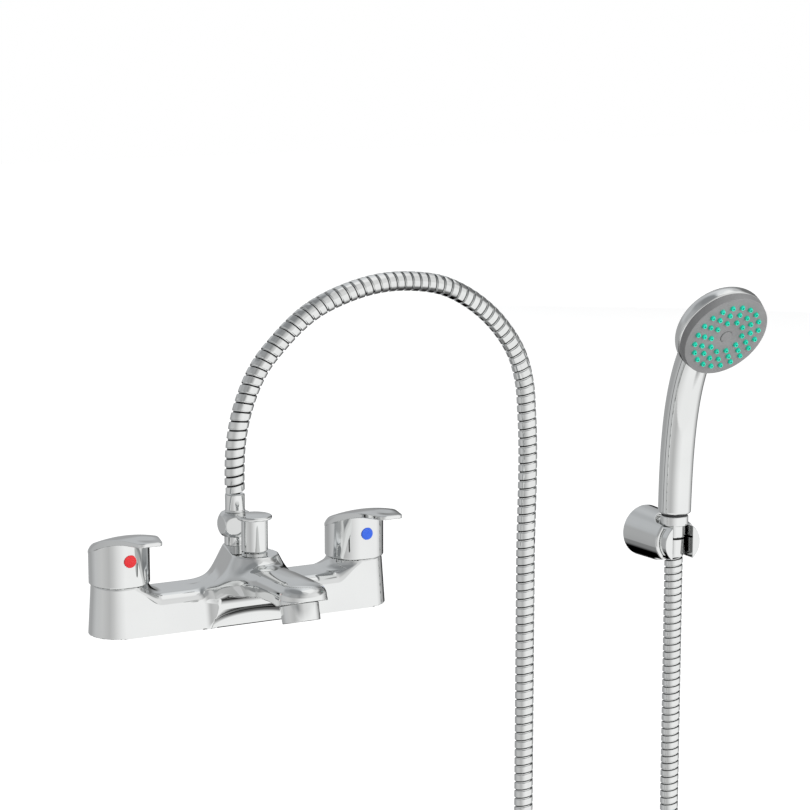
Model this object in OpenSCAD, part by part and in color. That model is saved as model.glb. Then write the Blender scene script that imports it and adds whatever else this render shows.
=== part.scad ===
// Bath shower mixer: a deck-mounted bath filler with a lever tap on each pillar, a pull-up
// diverter, a ribbed metal hose, a handset and the wall bracket that the handset hangs in.
// Millimetres. +X runs from the hot pillar to the cold pillar, -Y is the front, +Z is up.
// The origin is on the deck, midway between the two pillars.

/* [Mixer body] */
// Distance between the two inlet centres
inlet_centres = 180; // [150:1:200]
// Radius of each pillar at the deck
pillar_base_r = 22; // [21:0.1:25]
// Radius of each pillar at its top
pillar_top_r = 19.7; // [18:0.1:20.5]
// Height of the pillars above the deck
pillar_h = 35; // [32:0.5:45]
// Height of the bar between the pillars
bar_h = 27.5; // [25:0.5:31]
// Radius of the rounded top edges of the bar
bar_edge_r = 8; // [4:0.5:10]
// Radius of the hollow between a pillar and the bar
pillar_fillet_r = 4; // [2:0.5:6]

/* [Inlets] */
// Wall radius of the threaded inlet sockets
inlet_r = 12.06; // [9:0.01:12.5]
// Depth of the threaded inlet sockets
inlet_depth = 12; // [8:0.5:13]
// Inner radius of the base gaskets
gasket_in_r = 14; // [13.5:0.1:15]
// Outer radius of the base gaskets
gasket_out_r = 18; // [16:0.1:19.5]
// Thickness of the base gaskets
gasket_t = 2; // [1:0.1:3]

/* [Tower] */
// Height of the tower's flat top above the deck
tower_h = 51; // [47:0.5:58]
// Distance of the hose outlet behind the valve line
outlet_back = 6.5; // [4:0.5:10]
// Distance of the diverter in front of the valve line
diverter_front = 26; // [22:0.5:30]
// Radius of the tower's top around the hose outlet
tower_back_r = 8.7; // [8:0.1:10]
// Radius of the tower's top around the diverter
tower_front_r = 16.2; // [13:0.1:18]
// How far the tower's sides lean out from its top to its foot
tower_lean = 14.5; // [10:0.5:18]
// How far the hollow round the tower's foot spreads
tower_flare = 17; // [8:0.5:22]

/* [Spout] */
// Distance of the spout's outlet in front of the valve line
spout_reach = 97; // [85:0.5:130]
// Radius of the spout's nose
spout_r = 16.9; // [16.7:0.1:20]
// How far the middle of the nose is in front of the outlet
nose_lead = 4.2; // [2:0.1:4.4]
// Half width of the spout where it leaves the bar
spout_root_w = 34; // [26:0.5:42]
// Height of the outlet's joint face above the deck
outlet_h = 31; // [28:0.5:34]
// Thickness of the spout above the outlet
nose_t = 16.2; // [14:0.1:18]
// Forward lean of the outlet, in degrees
outlet_tilt = 17; // [5:1:25]

/* [Handles] */
// Radius of the handle's skirt
handle_r = 21; // [20.6:0.1:23]
// Reach of the lever from the valve's axis
lever_reach = 61; // [45:0.5:75]
// Width of the lever's tip
lever_tip_w = 15; // [10:0.5:22]
// Height of the lever's tip above the pillar
lever_rise = 40.2; // [37:0.1:46]
// Thickness of the lever's plate above the skirt
lever_t = 5.2; // [4:0.1:6]
// Thickness of the lever's plate at its tip
lever_tip_t = 2.7; // [2:0.1:4]
// How far the lever's plate overhangs the skirt
lever_lip = 0.3; // [0.1:0.1:1.5]
// Thickness of the skirt's wall
skirt_t = 3; // [2:0.1:4]
// Radius of the coloured index plugs
index_r = 4.4; // [3.5:0.1:5.5]
// Height of the index plugs above the pillar
index_h = 19; // [15:0.5:20]
// How far an index plug stands out of the skirt
index_proud = 0.3; // [0.1:0.1:1]
// How far the lever's plate falls from its middle to its edges
lever_crown = 3.5; // [2:0.5:8]

/* [Valves] */
// Radius of the valve cartridges
cartridge_r = 10; // [9.6:0.1:11]
// Wall of the valve cartridges
cartridge_t = 1.2; // [1:0.1:1.5]
// Across-corners radius of the cartridge's head
cartridge_head_r = 13; // [12:0.1:14]
// Height of the cartridge's head
cartridge_head_h = 6; // [4:0.5:7]
// Radius of the valve spindles
spindle_r = 4; // [3:0.1:5]
// Thickness of each ceramic disc
disc_t = 2.5; // [2:0.1:3]
// Thickness of the valve seat seal
seat_seal_t = 2; // [1.5:0.1:2.5]
// Cord radius of the valve O-rings
o_ring_r = 1; // [0.8:0.1:1.3]
// Radius of the handle's grub screw
grub_r = 2.5; // [2:0.1:3]

/* [Diverter] */
// Radius of the diverter knob
knob_r = 9.2; // [7.5:0.1:11]
// Radius of the knob's cap
knob_cap_r = 12.3; // [11.5:0.1:14]
// Height of the knob without its cap
knob_h = 22.4; // [18:0.2:26]
// Thickness of the knob's cap
knob_cap_t = 2.6; // [2:0.1:4]
// Gap between the knob and the tower
knob_gap = 2; // [1.5:0.1:4]
// Radius of the diverter's rod
rod_r = 3; // [2.5:0.1:4]
// Travel of the diverter
diverter_lift = 10; // [6:0.5:11]

/* [Aerator] */
// Radius of the aerator's collar
aerator_r = 13.3; // [13:0.1:14.5]
// Visible length of the aerator's collar
aerator_h = 12; // [9:0.5:15]
// Radius of the aerator's thread in the spout
aerator_thread_r = 11; // [10.5:0.1:11.2]
// Depth of the aerator's thread in the spout
aerator_thread_h = 5.5; // [4:0.5:6]

/* [Hose] */
// Outer diameter of the hose
hose_d = 14; // [12:0.5:16]
// Radius of the hose's bore
hose_bore_r = 4; // [3:0.1:4.4]
// Number of ribs along the hose
hose_ribs = 190; // [80:1:200]
// Depth of the grooves between the ribs
rib_depth = 0.9; // [0.3:0.1:1.2]
// Across-flats size of the hose nut on the mixer
nut_flats = 22; // [20:0.5:24]
// Radius of the rounded body of the hose nut
nut_ball_r = 12.6; // [12.5:0.1:13.5]
// Height of the hose nut
nut_h = 16.5; // [12:0.5:18]
// Radius of the hose outlet's neck
neck_r = 7.7; // [7.2:0.1:8.2]
// Height of the hose outlet's neck
neck_h = 6.5; // [5:0.5:9]
// Height of the ferrule above the hose nut
ferrule_h = 13; // [8:0.5:13]

/* [Handset] */
// Radius of the handset's grip
grip_r = 12.6; // [12:0.1:14]
// Radius of the spray face
face_r = 34.7; // [33:0.1:40]
// Distance of the spray face's centre in front of the grip's foot
head_front = 63.5; // [58:0.5:70]
// Height of the spray face's centre above the grip's foot
head_rise = 144.5; // [138:0.5:160]
// Downward tilt of the spray face, in degrees
head_tilt = 30; // [24:1:36]
// Thickness of the grey face plate's rim
face_rim_t = 6; // [5:0.1:8]
// Depth of the chrome shell behind the face plate
head_depth = 22; // [18:0.5:24]
// Radius of the water way in the grip
water_r = 5; // [4:0.1:6]

/* [Nozzles] */
// Radius of a nozzle at the face
nozzle_r = 2; // [1.6:0.1:2.4]
// Radius of a nozzle at its tip
nozzle_tip_r = 1.5; // [1.1:0.1:1.6]
// Height of a nozzle above the face
nozzle_h = 2; // [1:0.1:4]
// Radius of a nozzle's jet
jet_r = 0.6; // [0.4:0.1:0.8]
// Radius of the inner ring of nozzles
inner_ring_r = 13.6; // [12:0.1:14.5]
// Radius of the middle ring of nozzles
middle_ring_r = 20.4; // [19.5:0.1:21.5]
// Radius of the outer ring of nozzles
outer_ring_r = 26.9; // [26:0.1:28]
// Number of nozzles in the inner ring
inner_count = 10; // [6:1:12]
// Number of nozzles in the middle ring
middle_count = 15; // [8:1:18]
// Number of nozzles in the outer ring
outer_count = 20; // [10:1:24]
// Radius of the cap over the face screw
cap_r = 4.7; // [4:0.1:6]
// How far the cap stands out of the face
cap_proud = 2.2; // [0.2:0.1:3]

/* [Bracket] */
// Distance of the bracket's slot from the middle of the mixer
bracket_x = 365; // [365:1:366]
// Height of the bracket's axis above the deck
bracket_z = 15; // [15:0.5:15.5]
// Distance of the wall behind the valve line
wall_back = 41; // [38:0.5:60]
// Radius of the bracket's shell at the wall
shell_back_r = 20; // [19.6:0.1:24]
// Radius of the bracket's shell at its front
shell_front_r = 18.3; // [18:0.1:19.4]
// How far the shell reaches in front of the slot's centre
shell_front = 4; // [2:0.5:6]
// Radius of the rounded front edge of the shell
shell_edge_r = 2; // [0.5:0.1:2.2]
// Radius of the fork that the handset rests in
fork_r = 15.6; // [14.5:0.1:15.7]
// How far the fork reaches in front of the slot's centre
fork_front = 12.5; // [11.5:0.5:16]
// Width of the fork's slot
slot_w = 18.2; // [18:0.1:19]
// Radius of the hose nut's collar, which sits on the fork
collar_r = 10.7; // [10.3:0.1:11.3]
// Radius of the hose nut's neck in the slot
cone_r = 8.6; // [8.2:0.1:8.7]
// Spacing of the two wall screws
wall_screw_spacing = 18; // [15:0.5:20]
// Radius of the wall screw holes
wall_screw_r = 2.25; // [1.5:0.05:2.5]

/* [Fits] */
// Radial clearance where one piece turns or slides in another
running_clear = 0.05; // [0.02:0.01:0.1]
// Clearance where a fixed piece seats in another
seat_clear = 0.1; // [0.05:0.01:0.2]
// Gap between pieces that move past each other
moving_gap = 0.4; // [0.3:0.05:0.6]

/* [Hidden] */
$fn = 64;

// Heights of the valve stack, from the inlet socket up
seat_web = 3;
valve_floor_z = inlet_depth + seat_web;
seat_bore_r = 7;
fixed_disc_z = valve_floor_z + seat_seal_t;
moving_disc_z = fixed_disc_z + disc_t + running_clear;
spindle_foot_z = moving_disc_z + disc_t;
spindle_foot_t = 3;
cap_floor_z = spindle_foot_z + spindle_foot_t + running_clear;
stack_r = cartridge_r - cartridge_t - running_clear;
disc_port_r = 2.6;
disc_port_out = 4.2;
o_ring_drop = 3;

// Places on the mixer
inlet_x = inlet_centres / 2;
outlet_y = outlet_back;
diverter_y = -diverter_front;
bar_inset = 0.3;
pocket_web = 24;
pocket_wall = 6;
pocket_depth = 10;
passage_r = 3;
passage_y = -6;
passage_z = valve_floor_z + 5;
chamber_r = 8;
hose_link_z = tower_h - 13;
spout_way_z = outlet_h + 3;
spout_way_r = 3.5;
spout_way_drop = 6.2;
outlet_bore_r = 4;
nipple_thread_r = 7;
nipple_thread_h = 8;

// Handle: heights are above the pillar's top
cavity_h = 14;
socket_h = 14;
heel_h = 24.5;
crest_v = 42;
crest_bend = 1.6;
index_depth = 2.5;
grub_len = 8;
lever_steps = 18;
lever_across = 10;
spindle_top_z = pillar_h + cavity_h + socket_h - 1;

// Diverter
gland_h = 9;
gland_flange_t = 1;
seal_t = 1.2;
diverter_disc_t = 1.5;
chamber_floor_z = tower_h - gland_h - diverter_lift - 2 * seal_t - diverter_disc_t - 2;
diverter_rest_z = chamber_floor_z + 0.3;
knob_z = tower_h + knob_gap;
knob_socket_h = 14;
gland_o_ring_z = tower_h - 4;

// Hose ends
nut_z = tower_h + neck_h;
ferrule_z = nut_z + nut_h;
ferrule_r = hose_d / 2 - 0.05;
nut_bore_r = neck_r - 1.5;
nut_turn = 28;
washer_t = 1.5;
collar_seat = 0.3;
// The collar rests on a narrow flat on each side of the fork's slot
seat_flat_w = 0.4;
seat_z = bracket_z + sqrt(fork_r * fork_r - pow(slot_w / 2 + seat_flat_w, 2)) + collar_seat;
collar_h = 6;
cone_neck_h = 9.2;
sleeve_neck_h = 2.8;
sleeve_h = 13.2;
sleeve_top_r = 7.9;
sleeve_gap_r = 7.1;
hose_washer_t = 3;
hose_washer_r = 9.9;
hose_washer_bore = 7.4;
spigot_r = 7;
spigot_len = 14;
spigot_bore_r = 4;
hose_start_z = ferrule_z + ferrule_h;
hose_end_z = seat_z - cone_neck_h - sleeve_neck_h - sleeve_h;
collar_top_z = seat_z + collar_h;
grip_z = collar_top_z + hose_washer_t + collar_seat;

// Handset: the grip's middle line is a curve with these four points, as [forward, up]
grip_rise = 70;
grip_lean = 1.5;
grip_bend_front = 8;
grip_bend_rise = 118;
grip_end_depth = 20;
grip_end = [head_front - grip_end_depth * cos(head_tilt), head_rise + grip_end_depth * sin(head_tilt)];
grip_curve = [[0, 0], [grip_lean, grip_rise], [grip_bend_front, grip_bend_rise], grip_end];
grip_steps = 14;
grip_swell = 0.3;
foot_edge = 1.5;
socket_r = 8;
socket_depth = 10;
shell_rim_r = face_r + 1.2;
shell_wall = 2.5;
face_plate_t = 2;
mat_t = 1.5;
mat_r = outer_ring_r + nozzle_r + 1;
seal_w = 1.5;
face_lip_t = 2;
face_screw_r = 2;
face_screw_len = 14;
screw_head_r = 3.2;
screw_head_h = 1.4;
face_post_r = 4.5;
cap_t = 1;
cap_wall = 1;

// Bracket
shell_slot_w = 2 * (collar_r + 1.3);
shell_slot_y = 8;
plate_t = 4;
plate_r = 15.5;
shell_cavity = 12;
fork_back = 16;
fork_screw_r = 2.5;
fork_screw_head_r = 4.5;
fork_screw_head_h = 3;
fork_screw_len = 14;
bracket_grub_r = 2;

// The hose's middle line from the ferrule on the mixer, over its arch and down, round its hanging
// bend and up to the handset
hose_route = [
    [0, outlet_y, hose_start_z], [0, outlet_y, hose_start_z + 15], [1, 6.5, 120], [8, 6, 151],
    [21.5, 6, 177], [33, 5.5, 190],
    [59, 5, 211.5], [88, 4.5, 223.5], [117, 4, 229], [140, 4, 228.5], [164, 3.5, 224],
    [187, 3, 212.5], [210.5, 2.5, 192], [226, 2, 168], [232, 2, 147], [234, 2, 125],
    [234, 2, 13], [234, 2, -180], [234, 2, -338], [234, 2, -373], [234.3, 2, -390.3],
    [236.7, 2, -407.5], [242.8, 1.9, -423.6], [253, 1.7, -437.6], [266.5, 1.5, -448.3],
    [282.4, 1.3, -455.1], [299.5, 1, -457.4], [316.6, 0.7, -455.1], [332.5, 0.5, -448.3],
    [346, 0.3, -437.6], [356.2, 0.1, -423.6], [362.3, 0, -407.5], [364.7, 0, -390.3],
    [365, 0, -373], [365, 0, -338],
    [365, 0, -200], [bracket_x, 0, hose_end_z - 15], [bracket_x, 0, hose_end_z]];
hose_sides = 8;
rib_margin = hose_d;
bore_step = 7;

function mix(a, b, t) = a + (b - a) * t;
function clamp01(t) = min(max(t, 0), 1);
function bump(c, p) = sign(c) * pow(abs(c), 2 / p);
function bezier(p, t) =
    p[0] * pow(1 - t, 3) + 3 * p[1] * t * pow(1 - t, 2) + 3 * p[2] * t * t * (1 - t) + p[3] * pow(t, 3);
function bezier_dir(p, t) =
    (p[1] - p[0]) * pow(1 - t, 2) + 2 * (p[2] - p[1]) * t * (1 - t) + (p[3] - p[2]) * t * t;
function unit(v) = v / norm(v);
function arc(c, r, a0, a1, steps) =
    [for (i = [0 : steps]) c + r * [cos(mix(a0, a1, i / steps)), sin(mix(a0, a1, i / steps))]];
function middle(ring) = [for (k = [0 : 2]) max([for (p = ring) p[k]]) + min([for (p = ring) p[k]])] / 2;

// A solid through a list of rings of points, closed with a fan at each end
module loft(rings) {
    n = len(rings[0]);
    m = len(rings);
    last = (m - 1) * n;
    points = concat([for (ring = rings) each ring], [middle(rings[0]), middle(rings[m - 1])]);
    sides = [for (i = [0 : m - 2]) for (j = [0 : n - 1]) each [
        [i * n + j, (i + 1) * n + (j + 1) % n, i * n + (j + 1) % n],
        [i * n + j, (i + 1) * n + j, (i + 1) * n + (j + 1) % n]]];
    ends = [for (j = [0 : n - 1]) each [
        [m * n, j, (j + 1) % n],
        [m * n + 1, last + (j + 1) % n, last + j]]];
    polyhedron(points, concat(sides, ends));
}

// A tube wall: the rings run along its outside and back along its bore
module loop_loft(rings) {
    n = len(rings[0]);
    m = len(rings);
    points = [for (ring = rings) each ring];
    faces = [for (i = [0 : m - 1]) for (j = [0 : n - 1]) each [
        [i * n + j, ((i + 1) % m) * n + (j + 1) % n, i * n + (j + 1) % n],
        [i * n + j, ((i + 1) % m) * n + j, ((i + 1) % m) * n + (j + 1) % n]]];
    polyhedron(points, faces);
}

module ring(r_out, r_in, h) {
    difference() {
        cylinder(r = r_out, h = h);
        translate([0, 0, -1]) cylinder(r = r_in, h = h + 2);
    }
}

module o_ring(r_mid) {
    rotate_extrude() translate([r_mid, 0]) circle(r = o_ring_r);
}

module at_valve(side) {
    translate([side * inlet_x, 0, 0]) children();
}

module at_diverter() {
    translate([0, diverter_y, 0]) children();
}

module at_hose_outlet() {
    translate([0, outlet_y, 0]) children();
}

// The outlet's joint face: +Z runs up into the spout along the leaning axis
module at_aerator() {
    translate([0, -spout_reach, outlet_h]) rotate([-outlet_tilt, 0, 0]) children();
}

// The bracket's axis: +Z points forward, out of the wall, from the slot's centre
module at_bracket() {
    translate([bracket_x, 0, bracket_z]) rotate([90, 0, 0]) children();
}

module at_handset() {
    translate([bracket_x, 0, grip_z]) children();
}

// The spray face: +Z points out of the face
module at_face() {
    at_handset() translate([0, -head_front, head_rise]) rotate([90 + head_tilt, 0, 0]) children();
}

// Mixer body
function bar_w(z) = mix(pillar_base_r, pillar_top_r, z / pillar_h) - bar_inset;
bar_front = bar_w(bar_h);

// The spout in sections across it; v is the distance in front of the valve line
nose_v = spout_reach + nose_lead;
nose_z = outlet_h + nose_t;
spout_root_len = 45;
function spout_along(v) = clamp01((v - bar_front) / spout_root_len);
function nose_fall(v, p) = pow(1 - pow(max(v - nose_v, 0) / spout_r, p), 1 / p);
function spout_w(v) = (spout_r + (spout_root_w - spout_r) * pow(1 - spout_along(v), 2)) * nose_fall(v, 2);
function joint_z(v) = outlet_h + (v - spout_reach) * tan(outlet_tilt);

// Heights of the underside's edges, of its middle and of the top, each by the distance from the bar's front
leg_z = 1.2;
leg_knee_z = 9;
spout_edges = [[-10, outlet_h - 17], [-2, leg_z], [2, leg_z], [7.6, leg_knee_z], [8.7, outlet_h - 9],
               [16, outlet_h - 4.6], [36, outlet_h - 2.8], [48, outlet_h - 0.5], [64, outlet_h + 0.5]];
spout_arch = [[-10, outlet_h - 18], [0, outlet_h - 18], [4, outlet_h - 12], [9, outlet_h - 7.5],
              [16, outlet_h - 4.5]];
spout_tops = [[0, nose_z - 11], [25, nose_z - 1.5], [nose_v - bar_front, nose_z]];
function edge_z(v) = lookup(v - bar_front, spout_edges);
function arch_z(v) = max(lookup(v - bar_front, spout_arch), edge_z(v));
spout_dome = 10;
function spout_mid(v) = mix(bar_h - 1, nose_z - spout_dome, spout_along(v));
function spout_top(v) =
    mix(spout_mid(v), min(lookup(v - bar_front, spout_tops), tower_h - 2), nose_fall(v, 2.6));

spout_sides = 20;
function spout_ring(v) =
    let (w = spout_w(v), low = edge_z(v), mid = spout_mid(v), p = mix(2, 3.2, spout_along(v)))
    concat(
        [for (j = [0 : spout_sides]) let (a = 180 * j / spout_sides)
            [w * bump(cos(a), p), -v, mid + (spout_top(v) - mid) * bump(sin(a), p)]],
        [for (j = [0 : spout_sides]) let (a = 180 * j / spout_sides)
            [-w * cos(a), -v, low + (arch_z(v) - low) * sin(a)]]);

root_stations = [-14, -7, -2, 2, 4.8, 7.6, 8.7, 12, 16, 22, 28, 36, 45];
neck_steps = 4;
nose_steps = 7;
spout_stations = concat(
    [for (d = root_stations) bar_front + d],
    [for (i = [1 : neck_steps]) mix(bar_front + 45, nose_v, i / neck_steps)],
    [for (i = [1 : nose_steps]) nose_v + spout_r * sin(82 * i / nose_steps)]);

// The tower's rings spread as far as its lean and hollow go, or to the limits of the bar and the spout
tower_foot_z = bar_h - 5;
tower_steps = 9;
tower_sides = 48;
function tower_spread(z) =
    let (q = (tower_h - z) / (tower_h - tower_foot_z)) tower_lean * q + tower_flare * pow(q, 7);
function tower_point(a, f) =
    outlet_y * sin(a) + tower_back_r > diverter_y * sin(a) + tower_front_r
    ? [0, outlet_y] + (tower_back_r + f) * [cos(a), sin(a)]
    : [0, diverter_y] + (tower_front_r + f) * [cos(a), sin(a)];
function tower_side(v) = v > bar_front ? spout_w(v) : spout_root_w + 3 * (bar_front - v);
function tower_fits(p, z) =
    p[1] <= bar_w(z) - 0.2 && abs(p[0]) <= tower_side(-p[1]) - 0.3
    && (-p[1] <= bar_front || z >= arch_z(-p[1]) + 1.5);
function tower_limit(a, z, low, high, n) =
    n == 0 ? low
    : let (f = (low + high) / 2)
      tower_fits(tower_point(a, f), z) ? tower_limit(a, z, f, high, n - 1) : tower_limit(a, z, low, f, n - 1);
function tower_ring(z) = [for (j = [0 : tower_sides - 1])
    let (a = 360 * j / tower_sides, f = tower_spread(z))
    concat(tower_point(a, tower_fits(tower_point(a, f), z) ? f : tower_limit(a, z, 1 - tower_front_r, f, 12)), z)];

function bar_section() = concat(
    [[-bar_w(0), 0], [bar_w(0), 0]],
    arc([bar_w(bar_h) - bar_edge_r, bar_h - bar_edge_r], bar_edge_r, 4, 90, 6),
    arc([bar_edge_r - bar_w(bar_h), bar_h - bar_edge_r], bar_edge_r, 90, 176, 6));

module bar() {
    rotate([90, 0, 90]) linear_extrude(inlet_centres, center = true) polygon(bar_section());
}

module pillar() {
    cylinder(r1 = pillar_base_r, r2 = pillar_top_r, h = pillar_h);
}

// The hollow between a pillar and the flat top of the bar
module pillar_fillet(side) {
    foot = bar_w(bar_h);
    flat = foot - bar_edge_r;
    intersection() {
        translate([0, 0, -0.2]) rotate_extrude() polygon(concat(
            [[0, bar_h - 2], [foot + pillar_fillet_r, bar_h - 2]],
            arc([foot + pillar_fillet_r, bar_h + pillar_fillet_r], pillar_fillet_r, 270, 180, 6),
            [[0, bar_h + pillar_fillet_r]]));
        translate([-side * pillar_base_r, 0, bar_h])
            cube([2 * pillar_base_r, 2 * flat, 2 * pillar_h], center = true);
    }
}

module water_ways() {
    for (side = [-1, 1]) at_valve(side) {
        translate([0, 0, -1]) cylinder(r = inlet_r, h = inlet_depth + 1);
        translate([0, 0, inlet_depth - 1]) cylinder(r = seat_bore_r, h = seat_web + 2);
        translate([0, 0, valve_floor_z]) cylinder(r = cartridge_r + seat_clear, h = pillar_h);
        translate([0, 0, -1]) ring(gasket_out_r + seat_clear, gasket_in_r - seat_clear, gasket_t + 1);
    }
    translate([0, passage_y, passage_z]) rotate([0, 90, 0])
        cylinder(r = passage_r, h = inlet_centres, center = true);
    rise = chamber_floor_z + 5 - passage_z;
    run = diverter_front + passage_y;
    translate([0, passage_y, passage_z]) rotate([atan2(run, rise), 0, 0])
        cylinder(r = passage_r, h = norm([run, rise]));
    at_diverter() translate([0, 0, chamber_floor_z]) cylinder(r = chamber_r, h = tower_h);
    at_hose_outlet() {
        translate([0, 0, hose_link_z]) cylinder(r = outlet_bore_r, h = tower_h);
        translate([0, 0, tower_h - nipple_thread_h]) cylinder(r = nipple_thread_r, h = tower_h);
        translate([0, 0, hose_link_z]) rotate([90, 0, 0])
            cylinder(r = passage_r, h = outlet_back + diverter_front);
    }
    way_end_z = nose_z - spout_way_drop;
    way_run = spout_reach - diverter_front;
    way_rise = way_end_z - spout_way_z;
    at_diverter() translate([0, 0, spout_way_z]) rotate([90 - atan2(way_rise, way_run), 0, 0])
        cylinder(r = spout_way_r, h = norm([way_run, way_rise]));
    at_aerator() {
        cylinder(r = aerator_thread_r + seat_clear, h = aerator_thread_h + seat_clear);
        cylinder(r = spout_way_r + 2, h = (way_end_z - outlet_h) / cos(outlet_tilt));
        translate([0, 0, -aerator_h]) cylinder(r = spout_r + nose_lead + 2, h = aerator_h);
    }
}

module pockets() {
    length = inlet_x - pillar_base_r - pocket_web / 2;
    for (side = [-1, 1]) translate([side * (pocket_web + length) / 2, 0, 0])
        cube([length, 2 * (bar_w(bar_h) - pocket_wall), 2 * pocket_depth], center = true);
}

module mixer_body() {
    color("silver") difference() {
        union() {
            bar();
            for (side = [-1, 1]) at_valve(side) {
                pillar();
                pillar_fillet(side);
            }
            loft([for (i = [0 : tower_steps]) tower_ring(mix(tower_foot_z, tower_h, i / tower_steps))]);
            loft([for (v = spout_stations) spout_ring(v)]);
            translate([0, -nose_v, joint_z(nose_v - spout_r) - 1])
                cylinder(r = spout_r - 0.3, h = spout_mid(nose_v) - joint_z(nose_v - spout_r));
        }
        water_ways();
        pockets();
    }
}

module base_gasket(side) {
    color("dimgray") at_valve(side) ring(gasket_out_r, gasket_in_r, gasket_t);
}

// Handles and valves
lip_r = handle_r + lever_lip;
function lever_top(v) =
    mix(lever_rise, heel_h, pow(1 - clamp01((v + lip_r) / (crest_v + lip_r)), crest_bend));
function lever_w(v) =
    v < 0 ? sqrt(lip_r * lip_r - v * v) : lip_r - (lip_r - lever_tip_w / 2) * pow(v / lever_reach, 1.2);
function lever_skin(v, x) = lever_top(v) - lever_crown * pow(x / lip_r, 2);
function lever_plate(v) = mix(lever_t, lever_tip_t, clamp01(v / lever_reach));

// One section across the lever: its skin, and below it either the plate's underside or the pillar's top
function lever_ring(v, inset, plate) = concat(
    [for (i = [0 : lever_across]) let (x = lever_w(v) * (1 - 2 * i / lever_across))
        [x, -v, lever_skin(v, x) - inset]],
    [for (i = [0 : lever_across]) let (x = lever_w(v) * (2 * i / lever_across - 1))
        [x, -v, plate ? lever_skin(v, x) - lever_plate(v) : 0]]);

module lever(inset, plate) {
    heel = 0.2 - lip_r;
    loft([for (i = [0 : lever_steps]) lever_ring(mix(heel, lever_reach, i / lever_steps), inset, plate)]);
}

module handle(side) {
    color("silver") at_valve(side) translate([0, 0, pillar_h]) difference() {
        union() {
            intersection() {
                translate([0, 0, moving_gap]) cylinder(r = handle_r, h = lever_rise);
                lever(1, false);
            }
            lever(0, true);
        }
        cylinder(r = handle_r - skirt_t, h = cavity_h);
        cylinder(r = spindle_r + seat_clear, h = cavity_h + socket_h);
        translate([0, -handle_r + index_depth, index_h]) rotate([90, 0, 0])
            cylinder(r = index_r + seat_clear, h = handle_r);
        translate([0, 0, index_h]) rotate([90, 0, 0]) cylinder(r = grub_r + seat_clear, h = handle_r);
    }
}

module index_plug(side, hue) {
    color(hue) at_valve(side) translate([0, -handle_r + index_depth, pillar_h + index_h]) rotate([90, 0, 0])
        cylinder(r = index_r, h = index_depth + index_proud);
}

module grub_screw(side) {
    color("gray") at_valve(side) translate([0, -spindle_r - seat_clear, pillar_h + index_h])
        rotate([90, 0, 0])
        cylinder(r = grub_r, h = grub_len);
}

module spindle(side) {
    color("goldenrod") at_valve(side) {
        translate([0, 0, spindle_foot_z]) cylinder(r = stack_r, h = spindle_foot_t);
        translate([0, 0, spindle_foot_z]) cylinder(r = spindle_r, h = spindle_top_z - spindle_foot_z);
    }
}

module cartridge(side) {
    groove_z = pillar_h - o_ring_drop;
    color("goldenrod") at_valve(side) difference() {
        union() {
            translate([0, 0, valve_floor_z]) cylinder(r = cartridge_r, h = pillar_h - valve_floor_z);
            translate([0, 0, pillar_h]) cylinder(r = cartridge_head_r, h = cartridge_head_h, $fn = 6);
        }
        translate([0, 0, valve_floor_z - 1])
            cylinder(r = cartridge_r - cartridge_t, h = cap_floor_z - valve_floor_z + 1);
        cylinder(r = spindle_r + running_clear, h = 2 * pillar_h);
        translate([0, 0, groove_z - o_ring_r - seat_clear])
            ring(cartridge_r + 1, cartridge_r - 2 * o_ring_r, 2 * (o_ring_r + seat_clear));
        translate([0, passage_y, passage_z]) rotate([0, 90, 0])
            cylinder(r = passage_r / 2, h = 4 * cartridge_r, center = true);
    }
}

module valve_disc(side, z) {
    color("white") at_valve(side) translate([0, 0, z]) difference() {
        cylinder(r = stack_r, h = disc_t);
        for (x = [-1, 1]) translate([x * disc_port_out, 0, -1]) cylinder(r = disc_port_r, h = disc_t + 2);
    }
}

module seat_seal(side) {
    color("dimgray") at_valve(side) translate([0, 0, valve_floor_z])
        ring(stack_r, seat_bore_r - 0.5, seat_seal_t);
}

module valve_o_ring(side) {
    color("dimgray") at_valve(side) translate([0, 0, pillar_h - o_ring_drop])
        o_ring(cartridge_r - o_ring_r);
}

// Diverter
module diverter_knob() {
    edge = knob_cap_t / 2;
    color("silver") at_diverter() translate([0, 0, knob_z]) difference() {
        rotate_extrude() polygon(concat(
            [[0, 0], [knob_r, 0], [knob_r, knob_h]],
            arc([knob_cap_r - edge, knob_h + edge], edge, -90, 90, 8),
            [[0, knob_h + knob_cap_t]]));
        translate([0, 0, -1]) cylinder(r = rod_r + seat_clear, h = knob_socket_h + 1);
    }
}

module diverter_rod() {
    color("goldenrod") at_diverter() translate([0, 0, diverter_rest_z])
        cylinder(r = rod_r, h = knob_z + knob_socket_h - 0.5 - diverter_rest_z);
}

module diverter_disc() {
    color("goldenrod") at_diverter() translate([0, 0, diverter_rest_z + seal_t])
        ring(chamber_r - 1, rod_r + seat_clear, diverter_disc_t);
}

module diverter_seals() {
    color("dimgray") at_diverter() for (z = [0, seal_t + diverter_disc_t])
        translate([0, 0, diverter_rest_z + z]) ring(chamber_r - 0.4, rod_r + seat_clear, seal_t);
}

module diverter_gland() {
    groove = rod_r + running_clear + 2 * o_ring_r + seat_clear;
    color("goldenrod") at_diverter() difference() {
        union() {
            translate([0, 0, tower_h - gland_h]) cylinder(r = chamber_r - seat_clear, h = gland_h);
            translate([0, 0, tower_h]) cylinder(r = chamber_r + 1, h = gland_flange_t);
        }
        translate([0, 0, tower_h - gland_h - 1]) cylinder(r = rod_r + running_clear, h = 2 * gland_h);
        translate([0, 0, gland_o_ring_z - o_ring_r - seat_clear])
            cylinder(r = groove, h = 2 * (o_ring_r + seat_clear));
    }
}

module diverter_o_ring() {
    color("dimgray") at_diverter() translate([0, 0, gland_o_ring_z])
        o_ring(rod_r + running_clear + o_ring_r);
}

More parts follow.
